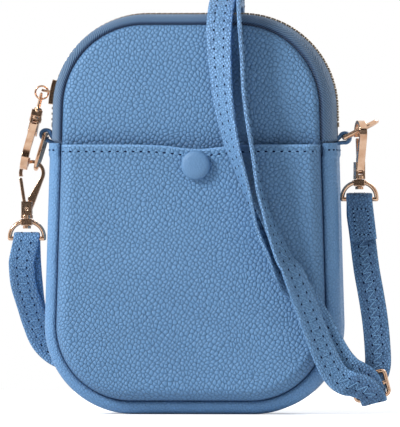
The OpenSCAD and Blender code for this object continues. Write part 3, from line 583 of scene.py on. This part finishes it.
px, pz = face_grid(seam_in + edge_gap, body_high - seam_in - edge_gap, 151, 131)
hide = laid_out(px, pz, panel_round, panel_rise)
hide = np.concatenate([hide, hide[:, ::-1]], 1)
for end, way, crown_from, swell, hem, cut_at in (("front", -1, 112, 2.6, 123, 0),
                                                 ("back", 1, -30, 1.2, no_hem, 400)):
    y = way * (foam_face + panel_depth(px, pz, crown_from, swell))
    # Painted shade in the seam, and on the front a painted shadow of the pocket's hem.
    painted_shading = painted_seam_shade(px, pz, hem)
    make(end + "_leather", slab(px, pz, y, y - way * panel_thick), body_leather,
         [end + "_panel"], hide + [cut_at, 0, 0], np.concatenate([painted_shading, painted_shading], 1))

# %% [markdown]
# ## The pocket
# The pocket stands further off, because cards fit behind it. Its hem is turned over to the
# inside and sewn down, so the sheet is carried up, round a small curl and down again. The
# magnetic snap pulls the middle in, the hem sags towards it, and a few soft creases run in from
# the left seam where the leather has been pressed.

# %% Shape the pocket
snap_at = (1.8, 114.7)
hem_high = 124.2
curl_r, pocket_thick, pocket_rise, pocket_round = 1.15, 1.4, 8.8, 6.5
# Each crease: its height at x = -60, slope, depth, width, and where it ends on the right
creases = ((61.5, 0.22, 0.55, 1.7, -34), (66.5, 0.12, 0.3, 1.3, -44),
           (34, -0.15, 0.3, 2.2, -28), (92, 0.3, 0.25, 2.4, -46))


def hem_dip(x):
    """The hem sags by 2 near the snap: 2 exp(-((x - 3.5) / 14)^2)."""
    return 2.0 * np.exp(-((x - 3.5) / 14) ** 2)


def pocket_face(x, z):
    """y of the pocket's outer face: a shoulder at the seam, a dimple of 0.7 round the snap,
    creases that are narrow valleys exp(-(off / wide)^2) along slanting lines, a slow swell of
    0.22, and 0.4 more where the hem is turned."""
    d = from_edge(x, z) - seam_in
    y = -18.6 - pocket_rise * shoulder(d, pocket_round) - 0.35 * (1 - np.exp(-d / 25))
    y = y + 0.7 * np.exp(-((x - snap_at[0]) ** 2 + (z - snap_at[1]) ** 2) / 260)
    for low, slope, deep, wide, end in creases:
        line = low + slope * (x + 60)
        y = y + deep * np.exp(-((z - line) / wide) ** 2) * step(-x, -end, 62)
    y = y + 0.22 * np.sin(x / 15 + 1.3) * np.sin(z / 19 + x / 60) * step(d, 6, 20)
    hem = hem_high - hem_dip(x)
    return y - 0.4 * step(z, hem - 6.4, hem - 5.6)


qx, qz = face_grid(seam_in + edge_gap, hem_high - curl_r, 161, 141, hem_dip)
qy = pocket_face(qx, qz)
curl = np.radians([25, 50, 75, 90, 105, 130, 155])
curl_x = np.repeat(qx[:, -1:], len(curl), 1)
curl_y = qy[:, -1:] + curl_r * (1 - np.cos(curl))
curl_z = qz[:, -1:] + curl_r * np.sin(curl)
inside = qy + pocket_thick + (2 * curl_r - pocket_thick) * step(qz, hem_high - 9, hem_high - 7)
inside = np.minimum(inside, -19.4)
pocket_rings = np.concatenate([
    np.stack([qx, qy, qz], -1), np.stack([curl_x, curl_y, curl_z], -1),
    np.stack([qx, inside, qz], -1)[:, ::-1]], 1)
hide = laid_out(qx, qz, pocket_round, pocket_rise) + [200, 0, 0]
over = hide[:, -1:] + np.stack([0 * curl, curl_r * curl, 0 * curl], -1)
hide = np.concatenate([hide, over, hide[:, ::-1]], 1)
# A ring needs an even number of points, so the last one comes twice, a hair apart
pocket_rings = np.concatenate([pocket_rings, pocket_rings[:, -1:] + [0, 1e-3, 0]], 1)
hide = np.concatenate([hide, hide[:, -1:]], 1)
# Painted shade in the seam, and a painted highlight of 0.75 along the top of the hem's curl.
painted_shading = painted_seam_shade(pocket_rings[..., 0], pocket_rings[..., 2], no_hem)
painted_hem_highlight = 0.75 * step(pocket_rings[..., 2] + hem_dip(pocket_rings[..., 0]), hem_high - 1.5, hem_high - 0.3)
make("pocket_leather", pocket_rings, body_leather, ["front_pocket"], hide, painted_shading + painted_hem_highlight)

# %% [markdown]
# ## Strips round the bag
# The side strip and the two zip tapes are bands that round over to the seams. Their section is a
# quarter ellipse, a flat run and, at the seam, a tuck into the groove. It is carried along the
# outline. The side strip's middle sags in a little, as leather does between two stiff seams.

# %% Carry a section round the bag
round_r, tuck_r = 7.0, 1.6
round_from = round_r - half_deep


def rounded_section(depth, tuck, flat_to, drop=0.0):
    """(inset, y) from the seam out to y = flat_to: inset = s - (s - o - p) sin t and
    y = r - 20 - (r - o) cos t for t from 0 to 90 degrees, with s the seam's inset, r the
    rounding, o the depth below the face and p the drop of the shoulder below the flat run's
    end, to which the run rises as a parabola. With tuck, a part of a circle of tuck_r leads
    down into the groove."""
    t = np.linspace(0, np.pi / 2, 12)
    bow = np.stack([seam_in - (seam_in - depth - drop) * np.sin(t),
                    round_from - (round_r - depth) * np.cos(t)], -1)
    flat = np.linspace(round_from + 1, flat_to, 8)
    run = np.stack([depth + drop * ((flat - flat_to) / (round_from - flat_to)) ** 2, flat], -1)
    curl = np.radians([180, 150, 120, 90, 60, 30])[:, None]
    hooked = tuck_r * np.concatenate([-np.cos(curl), -np.sin(curl)], 1)
    lead = [seam_in - 1.2, tuck_r - half_deep + depth] + hooked
    lead = lead[lead[:, 0] > seam_in - 1.15]
    bow = bow[bow[:, 0] < seam_in - 1.15] if tuck else bow
    return np.concatenate([lead, bow, run] if tuck else [bow, run])


def carried(s, section, shift=None):
    """Rings of a section at the distances s along the outline. shift adds to the inset."""
    inset = np.broadcast_to(section[:, 0], (len(s), len(section)))
    if shift is not None:
        inset = inset + shift
    x, z = rim(np.repeat(s[:, None], len(section), 1), inset)
    return np.stack([x, np.broadcast_to(section[:, 1], x.shape), z], -1)


def both_ways(section):
    """A section from the front seam to the middle, joined to its mirror image."""
    return np.concatenate([section, section[::-1] * [1, -1]])


def lengths(s, section):
    """For each point of the rings, how far along and how far across it lies."""
    grid = np.zeros((len(s), len(section), 3))
    grid[..., 0], grid[..., 1] = s[:, None], gone_along(section)
    return grid


strip_end = walk_to(125)
strip_s = np.linspace(-strip_end, strip_end, 260)
strip_out = both_ways(rounded_section(0, True, 0))
strip_in = both_ways(rounded_section(1.4, True, 0))
sag = 0.9 * np.clip(1 - (strip_out[:, 1] / round_from) ** 2, 0, 1)
calm = 0.15 * np.sin(strip_s / 9.0)[:, None] * np.sin(strip_s / 23.0 + 1)[:, None]
hem_swell = -0.5 * step(np.abs(strip_s), strip_end - 6.2, strip_end - 5.4)[:, None]
on_face = (np.abs(strip_out[:, 1]) < half_deep - 0.1)[None]
outer = carried(strip_s, strip_out, (sag + calm * (sag > 0)) + hem_swell * on_face)
inner = carried(strip_s, strip_in, sag + calm * (sag > 0))


def painted_strip_shading(section):
    """The mark on a strip: painted shade in the groove, by how far in from its shoulder a point
    lies, and a painted highlight of 0.16 on the rounded rim."""
    groove = -0.95 * step(section[:, 0], seam_in - 1.0, seam_in + 0.2)
    rim_light = 0.16 * np.exp(-((section[:, 0] - 1.6) / 1.6) ** 2) * (np.abs(section[:, 1]) > 14)
    return groove + rim_light


painted_shading = np.concatenate([painted_strip_shading(strip_out), painted_strip_shading(strip_in)[::-1]])
make("side_leather", np.concatenate([outer, inner[:, ::-1]], 1), side_leather,
     ["side_strip"], painted_light_and_wear=painted_shading[None])

# %% [markdown]
# ## The zip tapes
# Each half of the tape runs over the arch from right to left. At both feet it sinks in, so that
# it ends under the side strip.

# %% Zip tapes
tape_foot = walk_to(120)
tape_long = 2 * (walk_s[-1] - tape_foot)
tape_run = np.concatenate([np.linspace(0, 8, 17), np.linspace(8.8, tape_long - 8.8, 200),
                           tape_long - np.linspace(8, 0, 17)])
tape_s = tape_foot + tape_run
tape_s = np.where(tape_s > walk_s[-1], tape_s - 2 * walk_s[-1], tape_s)
tucked = 1.7 * (1 - step(rim(tape_s, 0)[1], 124.9, 126.6))[:, None]
for end, mirror in (("front", 1), ("back", -1)):
    face = rounded_section(0, True, -2.0, 0.75)
    back = rounded_section(0.8, True, -2.0, 0.75)
    ring = np.concatenate([face, back[::-1]])
    rings = np.concatenate([carried(tape_s, face, tucked), carried(tape_s, back, tucked)[:, ::-1]], 1)
    rings[..., 1] = mirror * (rings[..., 1] + 0.6 * tucked)
    # Painted shade: the tape darkens by 0.2 over its rounded shoulder and by 0.7 more into the groove.
    painted_shading = -0.7 * step(ring[:, 0], 4.6, 5.9) - 0.2 * step(ring[:, 0], 1.6, 4.6)
    make("zip_tape_" + end + "_cloth", rings, tape_cloth, ["zip_tape_" + end],
         lengths(tape_run, ring), painted_shading[None])

# %% [markdown]
# ## Lining and foam
# Behind the leather lie a sheet of foam and a woven lining. They are hardly seen, but they fill
# the mouth of the zip and the back of the pocket, so they get their own shells.

# %% Line the bag
for end, way in (("front", -1), ("back", 1)):
    lx, lz = face_grid(seam_in + 1, body_high - seam_in - 1, 41, 41)
    bow = 0.5 * np.sin(lx / 21) * np.sin(lz / 26)
    make(end + "_lining_cloth", slab(lx, lz, way * 16.3 + 0.2 * bow, way * 15.7 + 0.2 * bow),
         lining_cloth, [end + "_lining"], slab(lx, 0 * lz, lz, lz))
    fx, fz = face_grid(seam_in + 5, body_high - seam_in - 5, 51, 51)
    thick = 2.0 * shoulder(from_edge(fx, fz) - seam_in - 5, 4) + 0.1
    pad = make(end + "_foam_pad", slab(fx, fz, way * (17.5 + thick), way * 17.4 + 0 * fx),
               foam_sponge, [end + "_foam"])
deep_out, deep_in = both_ways(rounded_section(3.0, False, 0)), both_ways(rounded_section(3.6, False, 0))
lining_s = np.linspace(-walk_to(124.5), walk_to(124.5), 160)
rings = np.concatenate([carried(lining_s, deep_out), carried(lining_s, deep_in)[:, ::-1]], 1)
make("side_lining_cloth", rings, lining_cloth, ["side_lining"],
     lengths(lining_s, np.concatenate([deep_out, deep_in[::-1]])))
lx, lz = face_grid(seam_in + 8, hem_high - 7, 51, 51, hem_dip)
ly = pocket_face(lx, lz) + 1.5
make("pocket_lining_cloth", slab(lx, lz, ly, ly + 0.4), lining_cloth, ["pocket_lining"],
     slab(lx, 0 * lz, lz, lz))

# %% [markdown]
# ## The snap's cap
# The cap is a metal button covered with leather, which is pulled round its edge and under it.
# It is a profile turned about the snap's axis.

# %% Turn the cap
def turned_about_y(profile, centre, count=56):
    """Rings of a profile of (radius, y) turned about an axis along Y through centre (x, z), with
    the radius uneven by up to 1.4 % in three and five lumps."""
    a = (np.arange(count) + 0.5) * 2 * np.pi / count
    r, y = profile[:, :1], profile[:, 1:]
    lump = 1 + 0.008 * np.sin(3 * a + 1) + 0.006 * np.sin(5 * a)
    return np.stack([centre[0] + r * np.cos(a) * lump, y + 0 * a, centre[1] + r * np.sin(a) * lump], -1)


cap_r, cap_edge_y, cap_rise = 6.75, -28.4, 2.6
t = np.linspace(0.02, 1, 14) * np.pi / 2
dome = np.stack([cap_r * np.sin(t) ** 0.8, cap_edge_y - cap_rise * np.cos(t) ** 0.62], -1)
tuck = np.array([[6.72, -28.1], [6.5, -27.7], [6.1, -27.45], [5.4, -27.35], [1.0, -27.3]])
make("snap_cap_leather", turned_about_y(np.concatenate([dome, tuck]), snap_at), cap_leather,
     ["snap_cap"], on_body=False)

# %% [markdown]
# ## Ribbons
# Strap and tabs are flat bands. A band is a section carried along a path whose every point also
# says in which direction the width lies. The section is a rounded bar. The strap's leather is
# folded in at both edges, so it is fuller there, and the seam down its middle pulls it in.

# %% Carry a ribbon
def frames(path, across):
    """Direction of the path, of its thickness (along x across) and of its width."""
    along = unit(np.gradient(path, axis=0))
    thick = unit(np.cross(along, across))
    return along, thick, np.cross(thick, along)


def ribbon(path, across, wide, thick, count=20, pulled=0.0):
    """Rings of a band: half the width times w = |cos|^0.45 and half the thickness times
    |sin|^0.4, with their signs, the thickness less by the share pulled in the middle, as
    exp(-(2.2 w)^2)."""
    a = (np.arange(count) + 0.5) * 2 * np.pi / count
    w = np.sign(np.cos(a)) * np.abs(np.cos(a)) ** 0.45
    h = thick / 2 * np.sign(np.sin(a)) * np.abs(np.sin(a)) ** 0.4 * (1 - pulled * np.exp(-(2.2 * w) ** 2))
    _, up, side = frames(path, across)
    return path[:, None] + side[:, None] * (wide / 2 * w)[:, None] + up[:, None] * h[:, None]


def painted_edge_highlight(count=20):
    """The mark round a band: a painted highlight of 0.3 on the two folded edges, from w = 0.95, and -0.05
    inside 0.72.
    """
    w = np.abs(np.cos((np.arange(count) + 0.5) * 2 * np.pi / count)) ** 0.45
    return (0.35 * step(w, 0.72, 0.95) - 0.05)[None]


print("ribbons ready")

# %% [markdown]
# ## The tabs
# Each D-ring hangs in a leather loop. The leather comes out of the gap above the side strip,
# goes round the ring's bar and back in.

# %% Loop the tabs
tab_r, tab_seam_z, tab_seam_x = 2.2, 125.8, 65.95


def tab_path(pivot_x, pivot_z, seam_x):
    """A circle of tab_r about the bar, open towards the seam, and two straight ends that meet
    in the seam at the height tab_seam_z."""
    gap = math.atan2(tab_seam_z - pivot_z, seam_x - pivot_x)
    a = gap + np.radians(np.linspace(48, 312, 34))
    loop = np.stack([pivot_x + tab_r * np.cos(a), pivot_z + tab_r * np.sin(a)], -1)
    way = math.copysign(1, seam_x - pivot_x)
    first = np.array([[seam_x + way * tab_r, tab_seam_z + 0.75], [seam_x + way * 0.4, tab_seam_z + 0.85]])
    last = first * [1, -1] + [0, 2 * tab_seam_z]
    if math.sin(a[0]) < math.sin(a[-1]):
        first, last = last, first
    flat = np.concatenate([first, loop, last[::-1]])
    return np.stack([flat[:, 0], 0 * flat[:, 0], flat[:, 1]], -1)


for side, pivot_x, pivot_z in (("left", -69.168, 128.95), ("right", 69.213, 127.45)):
    path = tab_path(pivot_x, pivot_z, math.copysign(tab_seam_x, pivot_x))
    across = np.broadcast_to([0.0, 1.0, 0.0], path.shape)
    make(side + "_tab_leather", ribbon(path, across, 10.4, 1.8), tab_leather,
         [side + "_tab"], on_body=False)

# %% [markdown]
# ## The strap
# The strap is one long strip. It is sewn to itself below the right hook, runs down to the slide,
# passes under its lower bar, climbs over the front and the top, goes down behind the bag to the
# left hook, turns round the hook's loop and runs beside itself all the way back to the slide's
# middle bar, where it is sewn. The CAD model holds six pieces of this route, so the same places
# are used here, in order, for one ribbon. A row holds a place and the direction of the strap's
# width there. On its way down the front the sewn layer makes half a turn.

# %% Lay out the route
fold_r, turn_r = 2.3, 6.8


def spline(rows, steps=10):
    """Catmull-Rom through rows: half of 2b + (c - a) f + (2a - 5b + 4c - d) f^2
    + (3b - a - 3c + d) f^3 between each two of them."""
    r = np.array(rows, float)
    i = np.arange(len(r) - 1)
    a, b, c, d = r[np.maximum(i - 1, 0)], r[i], r[i + 1], r[np.minimum(i + 2, len(r) - 1)]
    f = (np.arange(steps) / steps)[:, None, None]
    mid = 0.5 * (2 * b + (c - a) * f + (2 * a - 5 * b + 4 * c - d) * f ** 2
                 + (3 * b - a - 3 * c + d) * f ** 3)
    return np.concatenate([mid.transpose(1, 0, 2).reshape(-1, 6), r[-1:]])


def fold(bar, rise, across, start, end):
    """Half a turn round a bar at fold_r from its middle: bar + fold_r (cos a Y + sin a rise)."""
    a = np.radians(np.linspace(start, end, 13))[:, None]
    place = np.array(bar) + fold_r * (np.cos(a) * [0, 1, 0] + np.sin(a) * np.array(rise))
    return np.concatenate([place, np.broadcast_to(across, place.shape)], 1)


def beside(bar, deep):
    """A turn in the strap's own plane next to a bar of the slide: three places on a circle of
    turn_r through the bar's middle, in front of it by fold_r and deep times 3.1 to 1.7."""
    rows = [[*(np.array(bar) - turn_r * slide_u + turn_r * np.array([math.cos(a), 0, math.sin(a)])
               - [0, fold_r + deep * down, 0]), 1, 0, 0]
            for a, down in zip(np.radians([66, 48, 31]), [3.1, 2.6, 1.7])]
    return np.array(rows)


slide_tilt = math.radians(14)
slide_u = np.array([math.cos(slide_tilt), 0, math.sin(slide_tilt)])
slide_v = np.array([-math.sin(slide_tilt), 0, math.cos(slide_tilt)])
slide_low = np.array([83.25, -27, 8.1])
slide_mid = slide_low + slide_v * 5.5
right_bar, left_bar = np.array([76.013, -4.5, 99.1]), np.array([-78.163, 0, 80.967])
UP = (0, 0, 1)
RIGHT_SPAN = [
    (76, -3.3, 92, 1, 0, 0), (77.2, -4.2, 84, 1, 0, 0), (78.3, -6.4, 75.6, 1, 0, 0),
    (79.6, -9, 66.4, 1, 0, 0), (81.7, -12, 55.3, 1, 0, 0), (83.6, -15.2, 44, 1, 0, 0),
    (84.8, -18.2, 33, 1, 0, 0), (85.2, -20.4, 23, 1, 0, 0), (83.5, -21.5, 17, 1, 0, 0),
    (82.9, -22, 13, 1, 0, 0), (83, -23.1, 10.3, 1, 0, 0)]
FRONT_RUNNING = [
    (21, 0, 194, 0, 0, -1), (21, -11, 193, 0, .25, -.97), (21.2, -23, 189.5, 0, .6, -.8),
    (22, -28.8, 178.8, 0, .9, -.3), (23.2, -29.4, 165, 0, 1, 0), (24, -31, 150, 0, 1, 0),
    (25.8, -33.4, 135.7, 0, 1, 0), (28.6, -35, 119.1, 0, 1, 0), (31.4, -35.4, 102.9, .1, .99, 0),
    (34.6, -36, 92.7, .2, .98, 0), (36.8, -36.5, 86.3, .34, .94, 0), (42.6, -37, 72, .6, .8, 0),
    (46.3, -37, 66.5, .77, .64, 0), (51, -36.5, 55, .87, .5, 0), (55.7, -36, 42.3, .88, .47, 0),
    (60.5, -35, 30, .93, .37, 0), (64.8, -34.3, 20.8, .97, .26, 0), (69.4, -33.6, 15.8, .99, .15, 0),
    (74.5, -33, 14.2, 1, 0, 0)]
FRONT_SEWN = [
    (14, 0, 193.5, 1, 0, 0), (13.6, -10, 192, 1, 0, 0), (13, -19, 187.5, 1, -.1, 0),
    (12.4, -25, 178.8, .98, -.17, 0), (12.7, -28, 167, .93, -.37, 0), (13.6, -29.5, 154.2, .82, -.57, 0),
    (15, -31, 141.8, .74, -.67, 0), (18, -33, 127, .59, -.81, 0), (20.4, -34.8, 119.1, .48, -.88, 0),
    (25.6, -35.5, 102.9, .26, -.97, 0), (31.2, -35.5, 86.3, -.17, -.98, 0),
    (36.4, -35.2, 73.5, -.17, -.98, 0), (41, -34, 66, -.64, -.77, 0), (46.5, -31.6, 60, -.94, -.3, 0),
    (52, -29.9, 54, -1, -.05, 0), (58.9, -29.7, 42.3, -1, 0, 0), (63.8, -29.6, 33.2, -1, 0, 0),
    (68.5, -29.5, 25.5, -1, 0, 0), (73, -29.4, 20.6, -1, 0, 0)]
BACK_RUNNING = [
    (-78, 4.8, 70, 1, 0, 0), (-77.6, 10.5, 60, 1, 0, 0), (-77, 17.5, 50, 1, 0, 0), (-75.6, 24.5, 40, 1, 0, 0),
    (-71.5, 28.8, 31.5, .8, 0, .5), (-63.5, 29.3, 26, .5, 0, .85), (-54, 29, 27.5, -.3, 0, .95),
    (-45.6, 28.5, 35.6, -.8, 0, .6), (-33, 28.4, 56, -.87, 0, .5), (-15, 28.6, 92, -.9, 0, .4),
    (1.5, 29, 130, -.9, .3, .37), (14.5, 30.2, 158, -.6, .8, .2), (19.6, 28.8, 177.5, -.1, .9, -.4),
    (20.8, 17, 192, 0, .4, .9), (21, 0, 194, 0, 0, 1)]
BACK_SEWN = [
    (-80.8, 1, 70, 1, 0, 0), (-80.4, 7, 60, 1, 0, 0), (-78, 14, 50, 1, 0, 0), (-75.3, 21, 40, 1, 0, 0),
    (-70.5, 25.5, 31.5, .8, 0, .5), (-63, 26, 26.5, .5, 0, .85), (-54, 25.5, 28, -.3, 0, .95),
    (-46, 25, 36, -.8, 0, .6), (-34, 24.5, 56, -.87, 0, .5), (-18, 24.5, 92, -.9, 0, .4),
    (-3, 24.5, 130, -.93, 0, .37), (8, 25, 162, -.97, 0, .2), (12.5, 23.5, 179, -1, 0, .1),
    (13.8, 15, 189, -1, 0, 0), (14, 0, 193.5, -1, 0, 0)]

# %% [markdown]
# ## One route
# The pieces are joined as a finger would follow the strap. Where one shows its other face, its
# width direction is turned round. Then the places are spread evenly and smoothed a little.

# %% Join the route
other_face = np.array([1, 1, 1, -1, -1, -1])
flap_long, flap_lean, flap_slope, tail = 19, 0.8, 0.12, 4.4
flap = [[*(right_bar + [flap_long * f * flap_slope, -fold_r - flap_lean * f, -flap_long * f]), 1, 0, 0]
        for f in (1, 0.75, 0.5, 0.25)]
route = np.concatenate([
    flap, fold(right_bar, UP, (1, 0, 0), 180, 0), spline(RIGHT_SPAN),
    fold(slide_low, slide_v, slide_u, 0, -180), beside(slide_low, 1)[::-1],
    spline(FRONT_RUNNING)[::-1], spline(BACK_RUNNING)[::-1] * other_face,
    fold(left_bar, UP, (-1, 0, 0), 0, 180), spline(BACK_SEWN) * other_face, spline(FRONT_SEWN),
    beside(slide_mid, 0) * other_face, fold(slide_mid, slide_v, -slide_u, -180, 0),
    [[*(slide_mid + [0, fold_r, 0] + slide_v * tail), *-slide_u]]])
apart = np.concatenate([[True], np.linalg.norm(np.diff(route[:, :3], axis=0), axis=1) > 0.05])
route = route[apart]
gone = gone_along(route[:, :3])
strap_long = gone[-1]
strap_s = np.linspace(0, strap_long, int(strap_long / 0.8))
route = np.stack([np.interp(strap_s, gone, route[:, i]) for i in range(6)], -1)
for _ in range(3):
    route[1:-1] = (route[:-2] + 2 * route[1:-1] + route[2:]) / 4
strap_path, strap_across = route[:, :3], route[:, 3:]
print("the strap is", round(strap_long), "mm long")

# %% Make the strap
# Painted highlight over the top and down the front, and painted shade below the right hook
x, y, z = strap_path.T
painted_strap_shading = 0.95 * np.exp(-((z - 185) / 72) ** 2) * (y < 12) * (x < 60) - 0.4 * step(x, 70, 76)
band = ribbon(strap_path, strap_across, 12, 2.0, 36, 0.3)
make("strap_leather_band", band, strap_leather,
     ["strap_right", "strap_front_running", "strap_front_sewn", "strap_back_running", "strap_back_sewn",
      "strap_left_fold"], painted_light_and_wear=painted_edge_highlight(36) + painted_strap_shading[:, None], on_body=False)

# %% [markdown]
# ## Stitches
# A stitch is a short piece of thread that dives into a hole at each end. Hundreds are needed, so
# each is a tube of five rings of six points, and all the stitches of one seam are one mesh.

# %% Sew
def threads(starts, ends, ups, thick, lift, sink=0.0):
    """Rings of stitches: the middle runs from start to end and rises by lift sin(pi t) less
    sink, and the radius is thick times 0.3, 0.8, 1, 0.8, 0.3 on the way."""
    t = np.array([0, 0.14, 0.5, 0.86, 1])
    full = np.array([0.3, 0.8, 1, 0.8, 0.3])
    a = (np.arange(6) + 0.5) * np.pi / 3
    starts, ends, ups = (np.asarray(v, float) for v in (starts, ends, ups))
    side = unit(np.cross(ends - starts, ups))
    rise = (lift * np.sin(np.pi * t) - sink)[:, None]
    middle = starts[:, None] + (ends - starts)[:, None] * t[:, None] + ups[:, None] * rise
    spread = side[:, None, None] * np.cos(a)[:, None] + ups[:, None, None] * np.sin(a)[:, None]
    return middle[:, :, None] + thick * full[:, None, None] * spread


def seam(name, spots, ups, gap=0.6, hole=0.75):
    """A line of stitches from each spot to the next, less gap at both ends, and a dark tube at each
    spot, hole long both ways, as painted shade in the needle hole."""
    way = unit(np.diff(spots, axis=0))
    up = unit(ups[:-1] + ups[1:])
    near, far = spots[:-1], spots[1:]
    stitches = threads(near + gap * way, far - gap * way, up, 0.3, 0.2, 0.2)
    make(name + "_thread", stitches, blue_thread)
    holes = threads(near - hole * way, near + hole * way, up, 0.46, 0.0, 0.2)
    make(name + "_holes", holes, needle_hole_shade)


hx = np.arange(-58.6, 60.4, 3.6)
hz = hem_high - hem_dip(hx) - 3.2
hem_spots = np.stack([hx, pocket_face(hx, hz), hz], -1)
tilt = (pocket_face(hx + 0.2, hz) - pocket_face(hx - 0.2, hz)) / 0.4
hem_ups = unit(np.stack([tilt, -np.ones_like(hx), 0 * hx], -1))
seam("hem_stitches", hem_spots, hem_ups)

# %% [markdown]
# ## The ends of the side strip
# Each end has a hem like the pocket's, with stitches from the front seam round to the back one.

# %% Sew the side strip's ends
free = slice(4, -4)
run = gone_along(strip_out[free])
line = np.linspace(0.02, 0.98, 15) * run[-1]
inset = np.interp(line, run, strip_out[free, 0]) + np.interp(line, run, sag[free]) - 0.5
y = np.interp(line, run, strip_out[free, 1])
for side, way in (("left", -1), ("right", 1)):
    x, z = rim(np.full(15, way * walk_to(121.8)), inset)
    spots = np.stack([x, y, z], -1)
    ups = unit(np.cross(np.gradient(spots, axis=0), [0, 0, 1]))
    ups = np.where((ups * np.stack([x, 2 * y, 0 * x], -1)).sum(-1, keepdims=True) < 0, -ups, ups)
    seam(side + "_end_stitches", spots, ups)

# %% [markdown]
# ## The strap's end
# Below the right hook the strap's end is sewn to the strap behind it by a box of stitches.

# %% Sew the strap's end down
box_x, box_f = 3.3 * np.array([-1, 1, 1, -1, -1]), np.array([0.24, 0.24, 0.86, 0.86, 0.24])
along_box = gone_along(np.stack([box_x, flap_long * box_f], -1))
at = np.linspace(0, along_box[-1], 20)
bx, bf = np.interp(at, along_box, box_x), np.interp(at, along_box, box_f)
spots = right_bar + np.stack([bx + flap_long * flap_slope * bf, -3.25 - flap_lean * bf, -flap_long * bf], -1)
seam("strap_end_box", spots, np.broadcast_to([0.0, -1.0, 0.0], spots.shape), 0.4, 0.38)

# %% [markdown]
# ## The strap's zigzag
# The strap is closed down its middle by a zigzag stitch between two rows of holes. The thread
# goes across from one row to the other and slants back to the next hole.

# %% Sew the strap
pitch, row_out, face_up, flap_end, tail_end, hole_half = 4.3, 2.3, 0.86, 23, 5, 0.65
_, strap_up, strap_side = frames(strap_path, strap_across)
marks = np.arange(flap_end, strap_long - tail_end, pitch)
place, out_way, wide_way = (np.stack([np.interp(marks, strap_s, v[:, i]) for i in range(3)], -1)
                            for v in (strap_path, strap_up, strap_side))
side = unit(wide_way)
for face, way in (("outer", 1), ("inner", -1)):
    up = way * unit(out_way)
    middle = place + face_up * up
    near, far = middle - row_out * side, middle + row_out * side
    starts, ends = np.concatenate([near, far[:-1]]), np.concatenate([far, near[1:]])
    ups = np.concatenate([up, up[:-1]])
    make("strap_" + face + "_thread", threads(starts, ends, ups, 0.24, -0.04, 0.02), blue_thread,
         on_body=False)
    holes, hole_ups = np.concatenate([near, far]), np.concatenate([up, up])
    along = hole_half * unit(np.cross(np.concatenate([side, side]), hole_ups))
    # Dark tubes as painted shade in the needle holes.
    make("strap_" + face + "_holes", threads(holes - along, holes + along, hole_ups, 0.48, 0, 0.2),
         needle_hole_shade, on_body=False)
